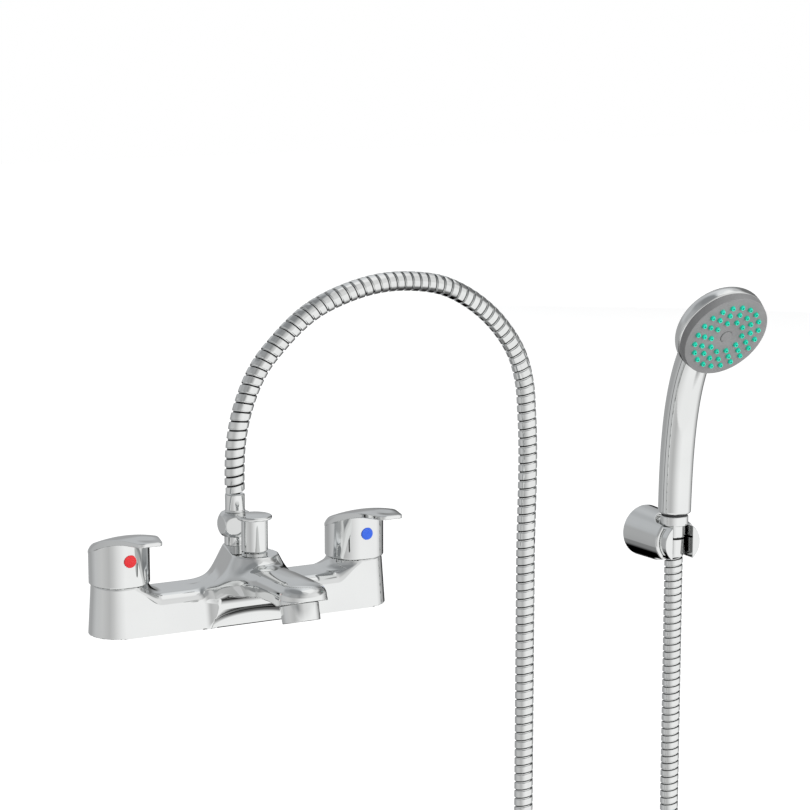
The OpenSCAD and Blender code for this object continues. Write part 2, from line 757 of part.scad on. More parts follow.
// Aerator
aerator_insert_r = aerator_thread_r - 1.5;
aerator_insert_h = aerator_h - 1;
aerator_seal_t = 1.5;

module aerator_collar() {
    color("silver") at_aerator() difference() {
        union() {
            translate([0, 0, -aerator_h]) cylinder(r1 = aerator_r - 0.4, r2 = aerator_r, h = aerator_h);
            cylinder(r = aerator_thread_r, h = aerator_thread_h - aerator_seal_t);
        }
        translate([0, 0, -aerator_h + 1]) cylinder(r = aerator_insert_r + seat_clear, h = 2 * aerator_h);
        translate([0, 0, -aerator_h - 1]) cylinder(r = aerator_insert_r - 1, h = 3);
    }
}

module aerator_insert() {
    color("lightgray") at_aerator() translate([0, 0, -aerator_h + 1]) difference() {
        cylinder(r = aerator_insert_r, h = aerator_insert_h);
        for (x = [-2 : 2]) for (y = [-2 : 2]) if (x * x + y * y < 6)
            translate([x * 3.2, y * 3.2, -1]) cylinder(r = 1, h = aerator_insert_h + 2, $fn = 16);
    }
}

module aerator_seal() {
    color("dimgray") at_aerator() translate([0, 0, aerator_thread_h - aerator_seal_t])
        ring(aerator_thread_r - 0.2, aerator_insert_r - 1, aerator_seal_t);
}

// Hose
module outlet_nipple() {
    color("silver") at_hose_outlet() difference() {
        union() {
            translate([0, 0, tower_h - nipple_thread_h])
                cylinder(r = nipple_thread_r - seat_clear, h = nipple_thread_h);
            translate([0, 0, tower_h]) cylinder(r = neck_r, h = neck_h);
            translate([0, 0, nut_z]) cylinder(r = nut_bore_r - seat_clear, h = nut_h - washer_t - 3);
        }
        translate([0, 0, tower_h - nipple_thread_h - 1]) cylinder(r = outlet_bore_r, h = tower_h);
    }
}

module outlet_washer() {
    color("dimgray") at_hose_outlet() translate([0, 0, ferrule_z - washer_t - 3])
        ring(nut_bore_r - seat_clear, outlet_bore_r, washer_t);
}

module hose_nut() {
    color("silver") at_hose_outlet() translate([0, 0, nut_z]) difference() {
        intersection() {
            translate([0, 0, nut_h / 2]) sphere(r = nut_ball_r);
            rotate(nut_turn) cylinder(r = nut_flats / sqrt(3), h = nut_h, $fn = 6);
        }
        translate([0, 0, -1]) cylinder(r = nut_bore_r, h = nut_h - 2);
        cylinder(r = hose_bore_r, h = nut_h + 1);
    }
}

module hose_ferrule() {
    color("silver") at_hose_outlet() translate([0, 0, ferrule_z]) ring(ferrule_r, hose_bore_r, ferrule_h);
}

// Lengths along the route's straight legs, and the hose's direction at each point
hose_legs = [for (i = [0 : len(hose_route) - 2]) norm(hose_route[i + 1] - hose_route[i])];
hose_sums = [for (i = 0, s = 0; i <= len(hose_legs);
                  s = s + (i < len(hose_legs) ? hose_legs[i] : 0), i = i + 1) s];
hose_span = hose_sums[len(hose_legs)];
function hose_dir(i) =
    i == 0 ? unit(hose_route[1] - hose_route[0])
    : i == len(hose_legs) ? unit(hose_route[i] - hose_route[i - 1])
    : let (a = hose_legs[i - 1], b = hose_legs[i])
      ((hose_route[i + 1] - hose_route[i]) * a / b + (hose_route[i] - hose_route[i - 1]) * b / a) / (a + b);
hose_dirs = [for (i = [0 : len(hose_legs)]) hose_dir(i)];

// The route's point and direction at a distance along its legs
function leg_at(s, i = 0) = i >= len(hose_legs) - 1 || s < hose_sums[i + 1] ? i : leg_at(s, i + 1);
function hose_point(s) =
    let (i = leg_at(s), d = hose_legs[i], t = (s - hose_sums[i]) / d)
    hose_route[i] * (2 * t * t * t - 3 * t * t + 1) + hose_dirs[i] * d * (t * t * t - 2 * t * t + t)
    + hose_route[i + 1] * (3 * t * t - 2 * t * t * t) + hose_dirs[i + 1] * d * (t * t * t - t * t);
function hose_tangent(s) =
    let (i = leg_at(s), d = hose_legs[i], t = (s - hose_sums[i]) / d)
    unit((hose_route[i] - hose_route[i + 1]) * (6 * t * t - 6 * t) / d
         + hose_dirs[i] * (3 * t * t - 4 * t + 1) + hose_dirs[i + 1] * (3 * t * t - 2 * t));
function hose_ring(s, r) =
    let (c = hose_point(s), along = hose_tangent(s), side = unit(cross([0, 1, 0], along)),
         up = cross(along, side), turn = 360 / hose_sides)
    [for (j = [0 : hose_sides - 1]) c + r * (side * cos(j * turn) + up * sin(j * turn))];

module hose_tube() {
    pitch = (hose_span - 2 * rib_margin) / hose_ribs;
    crest = hose_d / 2;
    outside = concat(
        [hose_ring(0, crest - rib_depth)],
        [for (i = [0 : hose_ribs - 1]) each [
            hose_ring(rib_margin + i * pitch, crest - rib_depth),
            hose_ring(rib_margin + (i + 0.6) * pitch, crest)]],
        [hose_ring(hose_span - rib_margin, crest - rib_depth), hose_ring(hose_span, crest - rib_depth)]);
    bore_rings = round(hose_span / bore_step / 3);
    inside = [for (i = [bore_rings : -1 : 0]) hose_ring(hose_span * i / bore_rings, hose_bore_r)];
    color("silver") loop_loft(concat(outside, inside));
}

module hose_sleeve() {
    top = seat_z - cone_neck_h;
    color("silver") translate([bracket_x, 0, 0]) difference() {
        union() {
            translate([0, 0, top - sleeve_neck_h - sleeve_h])
                cylinder(r1 = hose_d / 2, r2 = sleeve_top_r, h = sleeve_h);
            translate([0, 0, top - sleeve_neck_h - 1]) cylinder(r = sleeve_gap_r, h = sleeve_neck_h + 1);
        }
        translate([0, 0, top - 2 * sleeve_h]) cylinder(r = hose_bore_r, h = 3 * sleeve_h);
    }
}

module hose_cone_nut() {
    color("silver") translate([bracket_x, 0, seat_z]) difference() {
        union() {
            translate([0, 0, -cone_neck_h]) cylinder(r = cone_r, h = cone_neck_h + 1);
            cylinder(r = collar_r, h = collar_h);
        }
        translate([0, 0, -cone_neck_h - 1]) cylinder(r = hose_bore_r, h = 3 * cone_neck_h);
        translate([0, 0, grip_z - seat_z - spigot_len - moving_gap])
            cylinder(r = spigot_r + running_clear, h = 2 * spigot_len);
    }
}

module hose_washer() {
    color("dimgray") translate([bracket_x, 0, collar_top_z])
        ring(hose_washer_r, hose_washer_bore, hose_washer_t);
}

// Handset
function grip_ring(t, r) =
    let (p = bezier(grip_curve, t), d = unit(bezier_dir(grip_curve, t)))
    [for (j = [0 : 31]) let (a = 360 * j / 32)
        [r * cos(a), -p[0] + r * sin(a) * d[1], p[1] + r * sin(a) * d[0]]];

module grip_sweep(r, foot) {
    loft(concat(
        [grip_ring(0, r - foot), [for (p = grip_ring(0, r)) p + [0, 0, foot]]],
        [for (i = [1 : grip_steps]) let (t = i / grip_steps) grip_ring(t, r + grip_swell * sin(180 * t))]));
}

// The head's outline from its face back, as [radius, height along the face's axis]
function head_outline(inset) = concat(
    [[0, -face_rim_t], [shell_rim_r - 1.2 - inset, -face_rim_t]],
    arc([shell_rim_r - inset - 3, -face_rim_t - 4], 3, 50, 0, 4),
    [for (i = [1 : 8]) let (a = 90 * i / 8)
        [(shell_rim_r - inset) * cos(a), -face_rim_t - 4 - (head_depth - 4 - inset) * sin(a)]]);

// The water chamber in the head, with the post for the face screw left standing in it
module head_chamber() {
    back = -face_rim_t - head_depth;
    difference() {
        union() {
            intersection() {
                rotate_extrude() polygon(head_outline(shell_wall));
                translate([0, 0, back]) cylinder(r = 2 * face_r, h = head_depth - face_lip_t);
            }
            translate([0, 0, -face_rim_t - face_lip_t - 1]) cylinder(r = mat_r - 1, h = face_lip_t + 2);
        }
        translate([0, 0, back]) cylinder(r = face_post_r, h = 2 * head_depth);
    }
}

module handset_body() {
    color("silver") difference() {
        union() {
            at_face() rotate_extrude() polygon(head_outline(0));
            at_face() translate([0, 0, -face_rim_t - 1])
                cylinder(r = face_post_r, h = face_rim_t + 1 - face_plate_t - seat_clear);
            at_handset() grip_sweep(grip_r, foot_edge);
        }
        at_face() {
            head_chamber();
            translate([0, 0, -cap_t - face_screw_len - 1]) cylinder(r = face_screw_r, h = face_screw_len);
        }
        at_handset() {
            loft([for (i = [0 : grip_steps]) grip_ring(mix(0.03, 0.97, i / grip_steps), water_r)]);
            translate([0, 0, -1]) cylinder(r = socket_r + seat_clear, h = socket_depth + 1 + seat_clear);
        }
    }
}

module handset_spigot() {
    color("goldenrod") at_handset() difference() {
        union() {
            cylinder(r = socket_r, h = socket_depth);
            translate([0, 0, -spigot_len]) cylinder(r = spigot_r, h = spigot_len + 1);
        }
        translate([0, 0, -spigot_len - 1]) cylinder(r = spigot_bore_r, h = 2 * spigot_len);
    }
}

nozzle_rings = [
    [inner_count, inner_ring_r, 0], [middle_count, middle_ring_r, 6], [outer_count, outer_ring_r, 9]];

module at_nozzles() {
    for (row = nozzle_rings) for (i = [0 : row[0] - 1])
        rotate(row[2] + 360 * i / row[0]) translate([row[1], 0, 0]) children();
}

module handset_face() {
    edge = face_r + 0.4;
    color("gray") at_face() difference() {
        rotate_extrude() polygon([
            [0, 0], [face_r - 0.5, 0], [face_r, -0.5], [edge, -face_rim_t],
            [mat_r + seal_w + 1, -face_rim_t], [mat_r + seal_w + 1, -face_plate_t], [0, -face_plate_t]]);
        at_nozzles() translate([0, 0, -face_plate_t - 1])
            cylinder(r = nozzle_r + seat_clear, h = face_plate_t + 2, $fn = 24);
        translate([0, 0, -cap_t]) cylinder(r = cap_r + seat_clear, h = 2 * cap_t);
        translate([0, 0, -face_plate_t - 1]) cylinder(r = face_screw_r + seat_clear, h = face_plate_t + 1);
    }
}

module nozzle_mat() {
    color("mediumturquoise") at_face() difference() {
        union() {
            translate([0, 0, -face_plate_t - mat_t]) ring(mat_r, face_post_r + 1, mat_t);
            at_nozzles() translate([0, 0, -face_plate_t - mat_t / 2])
                cylinder(r = nozzle_r, h = face_plate_t + mat_t / 2 + 0.4, $fn = 24);
            at_nozzles() translate([0, 0, 0.4])
                cylinder(r1 = nozzle_r, r2 = nozzle_tip_r, h = nozzle_h - 0.4, $fn = 24);
        }
        at_nozzles() translate([0, 0, -face_plate_t - mat_t - 1])
            cylinder(r = jet_r, h = face_plate_t + mat_t + nozzle_h + 2, $fn = 16);
    }
}

module face_seal() {
    color("dimgray") at_face() translate([0, 0, -face_rim_t])
        ring(mat_r + seal_w, mat_r + seat_clear, face_rim_t - face_plate_t);
}

module face_screw() {
    color("gray") at_face() translate([0, 0, -cap_t]) {
        cylinder(r = screw_head_r, h = screw_head_h);
        translate([0, 0, -face_screw_len])
            cylinder(r = face_screw_r - seat_clear, h = face_screw_len + 0.5);
    }
}

module face_cap() {
    color("gray") at_face() difference() {
        translate([0, 0, -cap_t]) cylinder(r = cap_r, h = cap_t + cap_proud);
        translate([0, 0, -cap_t - 1]) cylinder(r = cap_r - cap_wall, h = 1 + screw_head_h + seat_clear);
    }
}

// Bracket
// An upright slot, open to the front, with its round end centred this far behind the slot's centre
module upright_slot(w, back) {
    rotate([90, 0, 0]) translate([0, -back, -3 * fork_r]) {
        cylinder(r = w / 2, h = 6 * fork_r);
        translate([-w / 2, 0, 0]) cube([w, 4 * fork_r, 6 * fork_r]);
    }
}

module bracket_shell() {
    front = shell_front;
    back = -wall_back;
    color("silver") at_bracket() difference() {
        rotate_extrude() polygon(concat(
            [[0, back], [shell_back_r, back]],
            arc([shell_front_r - shell_edge_r, front - shell_edge_r], shell_edge_r, 0, 90, 6),
            [[0, front]]));
        translate([0, 0, back - 1]) cylinder(r = plate_r + seat_clear, h = shell_cavity + 1);
        translate([0, 0, -fork_back - seat_clear])
            cylinder(r = fork_r + seat_clear, h = 2 * fork_back + front);
        upright_slot(shell_slot_w, shell_slot_y);
        translate([0, 0, back]) cylinder(r = fork_screw_r + seat_clear, h = wall_back);
        translate([0, 0, back + plate_t / 2]) rotate([90, 0, 0])
            cylinder(r = bracket_grub_r + seat_clear, h = 2 * shell_back_r);
    }
}

module bracket_fork() {
    color("silver") difference() {
        at_bracket() translate([0, 0, -fork_back]) cylinder(r = fork_r, h = fork_back + fork_front);
        at_bracket() upright_slot(slot_w, 0);
        at_bracket() translate([0, 0, -fork_back - 1]) cylinder(r = fork_screw_r, h = fork_back);
        translate([bracket_x, 0, seat_z - collar_seat]) cylinder(r = collar_r + moving_gap, h = fork_r);
    }
}

module fork_screw() {
    color("gray") at_bracket() {
        translate([0, 0, -wall_back + shell_cavity - fork_screw_head_h])
            cylinder(r = fork_screw_head_r, h = fork_screw_head_h);
        translate([0, 0, -wall_back + shell_cavity - 1])
            cylinder(r = fork_screw_r - seat_clear, h = fork_screw_len);
    }
}

module wall_plate() {
    color("gray") at_bracket() translate([0, 0, -wall_back]) difference() {
        cylinder(r = plate_r, h = plate_t);
        for (side = [-1, 1]) translate([side * wall_screw_spacing / 2, 0, -1])
            cylinder(r = wall_screw_r, h = plate_t + 2);
    }
}

module bracket_grub_screw() {
    color("gray") at_bracket() translate([0, -plate_r - seat_clear, -wall_back + plate_t / 2])
        rotate([90, 0, 0])
        cylinder(r = bracket_grub_r, h = shell_back_r - plate_r - 1);
}

mixer_body();
base_gasket(-1);  // hot_base_gasket
base_gasket(1);  // cold_base_gasket
handle(-1);  // hot_handle
index_plug(-1, "red");  // hot_index
grub_screw(-1);  // hot_grub_screw
spindle(-1);  // hot_spindle
cartridge(-1);  // hot_cartridge
valve_disc(-1, moving_disc_z);  // hot_moving_disc
valve_disc(-1, fixed_disc_z);  // hot_fixed_disc
seat_seal(-1);  // hot_seat_seal
valve_o_ring(-1);  // hot_o_ring
handle(1);  // cold_handle
index_plug(1, "royalblue");  // cold_index
grub_screw(1);  // cold_grub_screw
spindle(1);  // cold_spindle
cartridge(1);  // cold_cartridge
valve_disc(1, moving_disc_z);  // cold_moving_disc
valve_disc(1, fixed_disc_z);  // cold_fixed_disc
seat_seal(1);  // cold_seat_seal
valve_o_ring(1);  // cold_o_ring
diverter_knob();
diverter_rod();
diverter_disc();
diverter_seals();
diverter_gland();
diverter_o_ring();
aerator_collar();
aerator_insert();
aerator_seal();
outlet_nipple();
outlet_washer();
hose_nut();
hose_ferrule();
hose_tube();
hose_sleeve();
hose_cone_nut();
hose_washer();
handset_body();
handset_spigot();
handset_face();
nozzle_mat();
face_seal();
face_screw();
face_cap();
bracket_shell();
bracket_fork();
fork_screw();
wall_plate();
bracket_grub_screw();
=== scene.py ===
import math

import bpy
import numpy as np
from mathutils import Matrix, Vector


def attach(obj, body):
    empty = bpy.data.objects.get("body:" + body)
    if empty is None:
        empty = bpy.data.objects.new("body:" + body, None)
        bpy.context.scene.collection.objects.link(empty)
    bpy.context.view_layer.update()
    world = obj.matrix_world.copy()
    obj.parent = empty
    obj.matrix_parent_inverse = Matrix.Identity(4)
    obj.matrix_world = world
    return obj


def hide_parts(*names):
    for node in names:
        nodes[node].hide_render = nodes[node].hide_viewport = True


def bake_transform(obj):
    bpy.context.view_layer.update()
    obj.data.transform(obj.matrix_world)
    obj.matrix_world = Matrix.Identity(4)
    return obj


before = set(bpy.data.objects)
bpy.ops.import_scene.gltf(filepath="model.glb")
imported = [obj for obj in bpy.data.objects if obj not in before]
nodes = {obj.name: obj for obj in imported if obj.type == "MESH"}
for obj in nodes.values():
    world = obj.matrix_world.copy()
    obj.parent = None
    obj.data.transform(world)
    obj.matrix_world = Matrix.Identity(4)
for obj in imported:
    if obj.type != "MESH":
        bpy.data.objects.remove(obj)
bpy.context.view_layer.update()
scene = bpy.context.scene
scene.view_settings.view_transform = "Standard"

# Shapes are written in millimetres in the CAD frame; add_mesh turns them into metres.
MM = 0.001

# Places that several pieces share
PILLAR_X, BRACKET_X, BRACKET_Z = 90, 365, 15
OUTLET_Y, DIVERTER_Y = 6.5, -26

# ---------------------------------------------------------------- camera
AZIMUTH, ELEVATION = math.radians(27.868), math.radians(10.138)
lens = bpy.data.cameras.new("camera")
lens.sensor_width = 36
lens.lens = 114.44
lens.clip_end = 50
camera = bpy.data.objects.new("camera", lens)
scene.collection.objects.link(camera)
camera.location = (-0.71907, -1.60846, 0.46527)
aim = Vector((math.sin(AZIMUTH) * math.cos(ELEVATION), math.cos(AZIMUTH) * math.cos(ELEVATION),
              -math.sin(ELEVATION)))
camera.rotation_euler = aim.to_track_quat("-Z", "Y").to_euler()
scene.camera = camera


# ---------------------------------------------------------------- materials
class Graph:
    """A small helper for building one material's nodes."""

    def __init__(self, tree):
        self.tree = tree

    def add(self, kind, **inputs):
        node = self.tree.nodes.new(kind)
        for key, value in inputs.items():
            if key in node.inputs:
                self.feed(node.inputs[key], value)
            else:
                setattr(node, key, value)
        return node

    def feed(self, socket, value):
        if isinstance(value, bpy.types.NodeSocket):
            self.tree.links.new(value, socket)
        else:
            socket.default_value = value

    def math(self, operation, *values, clamp=False):
        node = self.tree.nodes.new("ShaderNodeMath")
        node.operation = operation
        node.use_clamp = clamp
        for socket, value in zip(node.inputs, values):
            self.feed(socket, value)
        return node.outputs[0]

    def wire(self, kind, *values):
        """A node with its inputs fed in order; returns its first output, if it has one."""
        node = self.tree.nodes.new(kind)
        for socket, value in zip(node.inputs, values):
            self.feed(socket, value)
        return node.outputs[0] if node.outputs else None

    def mix(self, share, a, b):
        """The colour a, passing to b as the share goes from 0 to 1."""
        node = self.tree.nodes.new("ShaderNodeMix")
        node.data_type = "RGBA"
        for place, value in ((0, share), (6, a), (7, b)):
            self.feed(node.inputs[place], value)
        return node.outputs[2]

    def ramp(self, value, stops, mode="EASE"):
        node = self.tree.nodes.new("ShaderNodeValToRGB")
        node.color_ramp.interpolation = mode
        marks = node.color_ramp.elements
        while len(marks) < len(stops):
            marks.new(0.5)
        for mark, (place, colour) in zip(marks, stops):
            mark.position = place
        for mark, (place, colour) in zip(marks, stops):
            mark.color = (*colour, 1) if len(colour) == 3 else colour
        self.feed(node.inputs[0], value)
        return node.outputs[0]

    def noise(self, scale, detail=3.0, rough=0.5, stretch=None):
        place = self.add("ShaderNodeTexCoord").outputs["Object"]
        if stretch:
            mapping = self.add("ShaderNodeMapping")
            mapping.inputs["Scale"].default_value = stretch
            self.feed(mapping.inputs["Vector"], place)
            place = mapping.outputs[0]
        node = self.add("ShaderNodeTexNoise")
        node.inputs["Scale"].default_value = scale
        node.inputs["Detail"].default_value = detail
        node.inputs["Roughness"].default_value = rough
        self.feed(node.inputs["Vector"], place)
        return node.outputs["Fac"]

    def spread(self, value, low, high, start=0.3, end=0.7):
        node = self.tree.nodes.new("ShaderNodeMapRange")
        for key, number in (("From Min", start), ("From Max", end), ("To Min", low), ("To Max", high)):
            node.inputs[key].default_value = number
        self.feed(node.inputs["Value"], value)
        return node.outputs["Result"]


def new_material(name, metallic=0.0, **fixed):
    mat = bpy.data.materials.new(name)
    mat.use_nodes = True
    graph = Graph(mat.node_tree)
    shader = mat.node_tree.nodes["Principled BSDF"]
    shader.inputs["Metallic"].default_value = metallic
    for key, value in fixed.items():
        shader.inputs[key.replace("_", " ")].default_value = value
    return mat, graph, shader


def bump(graph, shader, height, strength, distance):
    node = graph.add("ShaderNodeBump")
    node.inputs["Strength"].default_value = strength
    node.inputs["Distance"].default_value = distance
    graph.feed(node.inputs["Height"], height)
    graph.feed(shader.inputs["Normal"], node.outputs[0])


def plated(name, light, dark, rough, bump_mm=0.0, spots=0.03):
    """Polished metal plate: faint cloudiness, water marks in the gloss and a barely uneven skin."""
    mat, graph, shader = new_material(name, 1.0)
    cloud = graph.noise(28, 4)
    graph.feed(shader.inputs["Base Color"], graph.ramp(cloud, [(0.3, dark), (0.7, light)]))
    marks = graph.spread(graph.noise(160, 5, 0.6), 0.0, spots, 0.56, 0.74)
    graph.feed(shader.inputs["Roughness"], graph.math("ADD", graph.spread(cloud, *rough), marks))
    if bump_mm:
        bump(graph, shader, graph.noise(70, 2), 0.25, bump_mm * MM)
    return mat


def lined(mat, key, start, end, shade):
    """Darkens a plated material where the value stored on its mesh passes from start to end; this paints shade into
    recesses, and draws the handset's dark parting line.
    """
    graph = Graph(mat.node_tree)
    shader = mat.node_tree.nodes["Principled BSDF"]
    mark = graph.add("ShaderNodeAttribute", attribute_name=key)
    share = graph.spread(graph.math("ABSOLUTE", mark.outputs["Fac"]), 0.0, 1.0, start, end)
    plain = shader.inputs["Base Color"].links[0].from_socket
    graph.feed(shader.inputs["Base Color"], graph.mix(share, plain, (shade, shade, shade, 1)))


def store(piece, key, values):
    """Stores one value per point on a piece's mesh, for lined() to read."""
    piece.data.attributes.new(key, "FLOAT", "POINT").data.foreach_set("value", np.asarray(values, np.float32))


def moulded(name, light, dark, rough, grain=900, bump_mm=0.02, **fixed):
    """Moulded plastic, rubber or ceramic: slight colour drift and a fine grain."""
    mat, graph, shader = new_material(name, 0.0, **fixed)
    drift = graph.noise(60, 4)
    graph.feed(shader.inputs["Base Color"], graph.ramp(drift, [(0.3, dark), (0.7, light)]))
    fine = graph.noise(grain, 2)
    graph.feed(shader.inputs["Roughness"], graph.spread(fine, *rough))
    bump(graph, shader, fine, 0.3, bump_mm * MM)
    return mat


def turned(name, light, dark, rough, scale=(1, 1, 60)):
    """Machined metal with fine turning marks."""
    mat, graph, shader = new_material(name, 1.0)
    marks = graph.noise(120, 3, 0.5, scale)
    graph.feed(shader.inputs["Base Color"], graph.ramp(marks, [(0.25, dark), (0.75, light)]))
    graph.feed(shader.inputs["Roughness"], graph.spread(marks, *rough))
    bump(graph, shader, marks, 0.15, 0.02 * MM)
    return mat


CHROME = plated("chrome", (0.815, 0.825, 0.82), (0.795, 0.803, 0.80), (0.018, 0.035), 0.004)
CHROME_PLASTIC = plated("chromed_plastic", (0.815, 0.825, 0.82), (0.79, 0.80, 0.795), (0.022, 0.045), 0.006)
HOSE_STEEL = plated("hose_steel", (0.80, 0.81, 0.805), (0.76, 0.77, 0.765), (0.03, 0.07), 0.0, 0.05)
BRASS = turned("brass", (0.78, 0.60, 0.30), (0.66, 0.48, 0.22), (0.22, 0.38))
STEEL = turned("steel", (0.62, 0.62, 0.61), (0.50, 0.50, 0.50), (0.22, 0.4))
RUBBER = moulded("black_rubber", (0.028, 0.028, 0.03), (0.016, 0.016, 0.018), (0.45, 0.7), 700, 0.04)
CERAMIC = moulded("ceramic", (0.86, 0.85, 0.82), (0.80, 0.79, 0.76), (0.12, 0.22))
RED = moulded("red_plastic", (0.92, 0.022, 0.030), (0.84, 0.016, 0.024), (0.18, 0.3))
BLUE = moulded("blue_plastic", (0.03, 0.14, 0.82), (0.025, 0.115, 0.75), (0.18, 0.3))
WHITE = moulded("white_plastic", (0.72, 0.72, 0.71), (0.64, 0.64, 0.63), (0.3, 0.45))
GREY = moulded("grey_plastic", (0.29, 0.29, 0.292), (0.26, 0.26, 0.262), (0.36, 0.52), 1100, 0.03)
GREEN = moulded("green_rubber", (0.02, 0.93, 0.66), (0.014, 0.83, 0.56), (0.28, 0.45), 800, 0.03)

# Painted shade: dark strips in the hose's groove, and darkening at the end sleeve's neck, the bracket slot's walls and
# the nozzles' holes and feet; the handset's parting line is a dark joint
lined(HOSE_STEEL, "depth", 0.2, 0.65, 0.02)
lined(CHROME, "gap", 0.05, 1.0, 0.01)
lined(GREEN, "gap", 0.05, 1.0, 0.008)
lined(CHROME_PLASTIC, "seam", 0.30, 0.12, 0.06)

# The solids that show as they are; the seals, washers and gaskets among them are rubber
NODE_MATERIALS = {
    "hot_spindle": BRASS, "cold_spindle": BRASS, "hot_cartridge": BRASS, "cold_cartridge": BRASS,
    "diverter_rod": STEEL, "diverter_disc": BRASS, "handset_spigot": BRASS, "diverter_gland": CHROME,
    "hot_moving_disc": CERAMIC, "cold_moving_disc": CERAMIC, "hot_fixed_disc": CERAMIC, "cold_fixed_disc": CERAMIC,
    "hot_grub_screw": STEEL, "cold_grub_screw": STEEL, "face_screw": STEEL, "fork_screw": STEEL,
    "bracket_grub_screw": STEEL, "wall_plate": STEEL, "aerator_insert": WHITE,
}
for node_name, node in nodes.items():
    slots = node.data.materials
    slots.clear()
    slots.append(NODE_MATERIALS.get(node_name, RUBBER))


# ---------------------------------------------------------------- mesh tools
def add_mesh(name, points, faces, mat, body, stands_for, normals=None, crease=35):
    """A piece of the part: its mesh, the body it rides on and the nodes it stands for."""
    if isinstance(faces, np.ndarray):
        faces = faces.tolist()
    mesh = bpy.data.meshes.new(name)
    mesh.from_pydata((np.asarray(points) * MM).tolist(), [], faces)
    mesh.materials.append(mat)
    mesh.shade_smooth()
    if normals is not None:
        mesh.normals_split_custom_set_from_vertices(normals.tolist())
    else:
        mesh.set_sharp_from_angle(angle=math.radians(crease))
    piece = bpy.data.objects.new(name, mesh)
    scene.collection.objects.link(piece)
    if body:
        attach(piece, body)
    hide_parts(*stands_for)
    return piece


def rounded(corners, steps=5):
    """A line through corners of (radius, height, edge radius), with each edge rounded off."""
    line = []
    for i, (x, y, r) in enumerate(corners):
        here = np.array([x, y], float)
        if not r or i in (0, len(corners) - 1):
            line.append(here)
            continue
        a = np.array(corners[i - 1][:2], float) - here
        b = np.array(corners[i + 1][:2], float) - here
        a, b = a / np.linalg.norm(a), b / np.linalg.norm(b)
        if a @ b < -0.9999:
            line.append(here)
            continue
        half = math.acos(np.clip(a @ b, -1, 1)) / 2
        reach = r / math.tan(half)
        start, end = here + a * reach, here + b * reach
        centre = here + (a + b) / np.linalg.norm(a + b) * (r / math.sin(half))
        for t in np.linspace(0, 1, steps + 1):
            p = (start - centre) * (1 - t) + (end - centre) * t
            line.append(centre + p / np.linalg.norm(p) * r)
    return np.array(line)


def lathe(line, sides=72):
    """Points and faces of a line of (radius, height) turned about Z."""
    line = np.asarray(line, float)
    angle = np.linspace(0, 2 * math.pi, sides, endpoint=False)
    points, rows = [], []
    for r, h in line:
        if r < 1e-6:
            rows.append([len(points)] * sides)
            points.append((0, 0, h))
        else:
            rows.append(list(range(len(points), len(points) + sides)))
            points.extend(np.c_[r * np.cos(angle), r * np.sin(angle), np.full(sides, h)])
    faces = []
    for low, high in zip(rows[:-1], rows[1:]):
        for j in range(sides):
            k = (j + 1) % sides
            face = [low[j], low[k], high[k], high[j]]
            face = [f for n, f in enumerate(face) if f != face[n - 1]]
            if len(face) > 2:
                faces.append(face)
    return np.array(points, float), faces


def turn_x(points, degrees, origin=(0, 0, 0)):
    """Points turned about X, then moved so that their zero is at the origin given."""
    c, s = math.cos(math.radians(degrees)), math.sin(math.radians(degrees))
    x, y, z = np.asarray(points).T
    return np.c_[x, c * y - s * z, s * y + c * z] + np.asarray(origin, float)


def joined(*parts):
    points, faces, base = [], [], 0
    for pts, fcs in parts:
        points.append(pts)
        faces.extend([[f + base for f in face] for face in fcs])
        base += len(pts)
    return np.vstack(points), faces


# Fields: negative inside, close to a distance in millimetres
def blend_min(a, b, k):
    h = np.maximum(k - np.abs(a - b), 0) / k
    return np.minimum(a, b) - h * h * h * k / 6


def blend_max(a, b, k):
    return -blend_min(-a, -b, k)


def round_max(a, b, r):
    u, w = np.maximum(a + r, 0), np.maximum(b + r, 0)
    return np.minimum(np.maximum(a, b), -r) + np.sqrt(u * u + w * w)


def ease(t):
    t = np.clip(t, 0, 1)
    return t * t * (3 - 2 * t)


def slope_of(field, p, step=0.04):
    grad = np.empty_like(p)
    for k in range(3):
        d = np.zeros(3)
        d[k] = step
        grad[:, k] = (field(*(p + d).T) - field(*(p - d).T)) / (2 * step)
    return grad


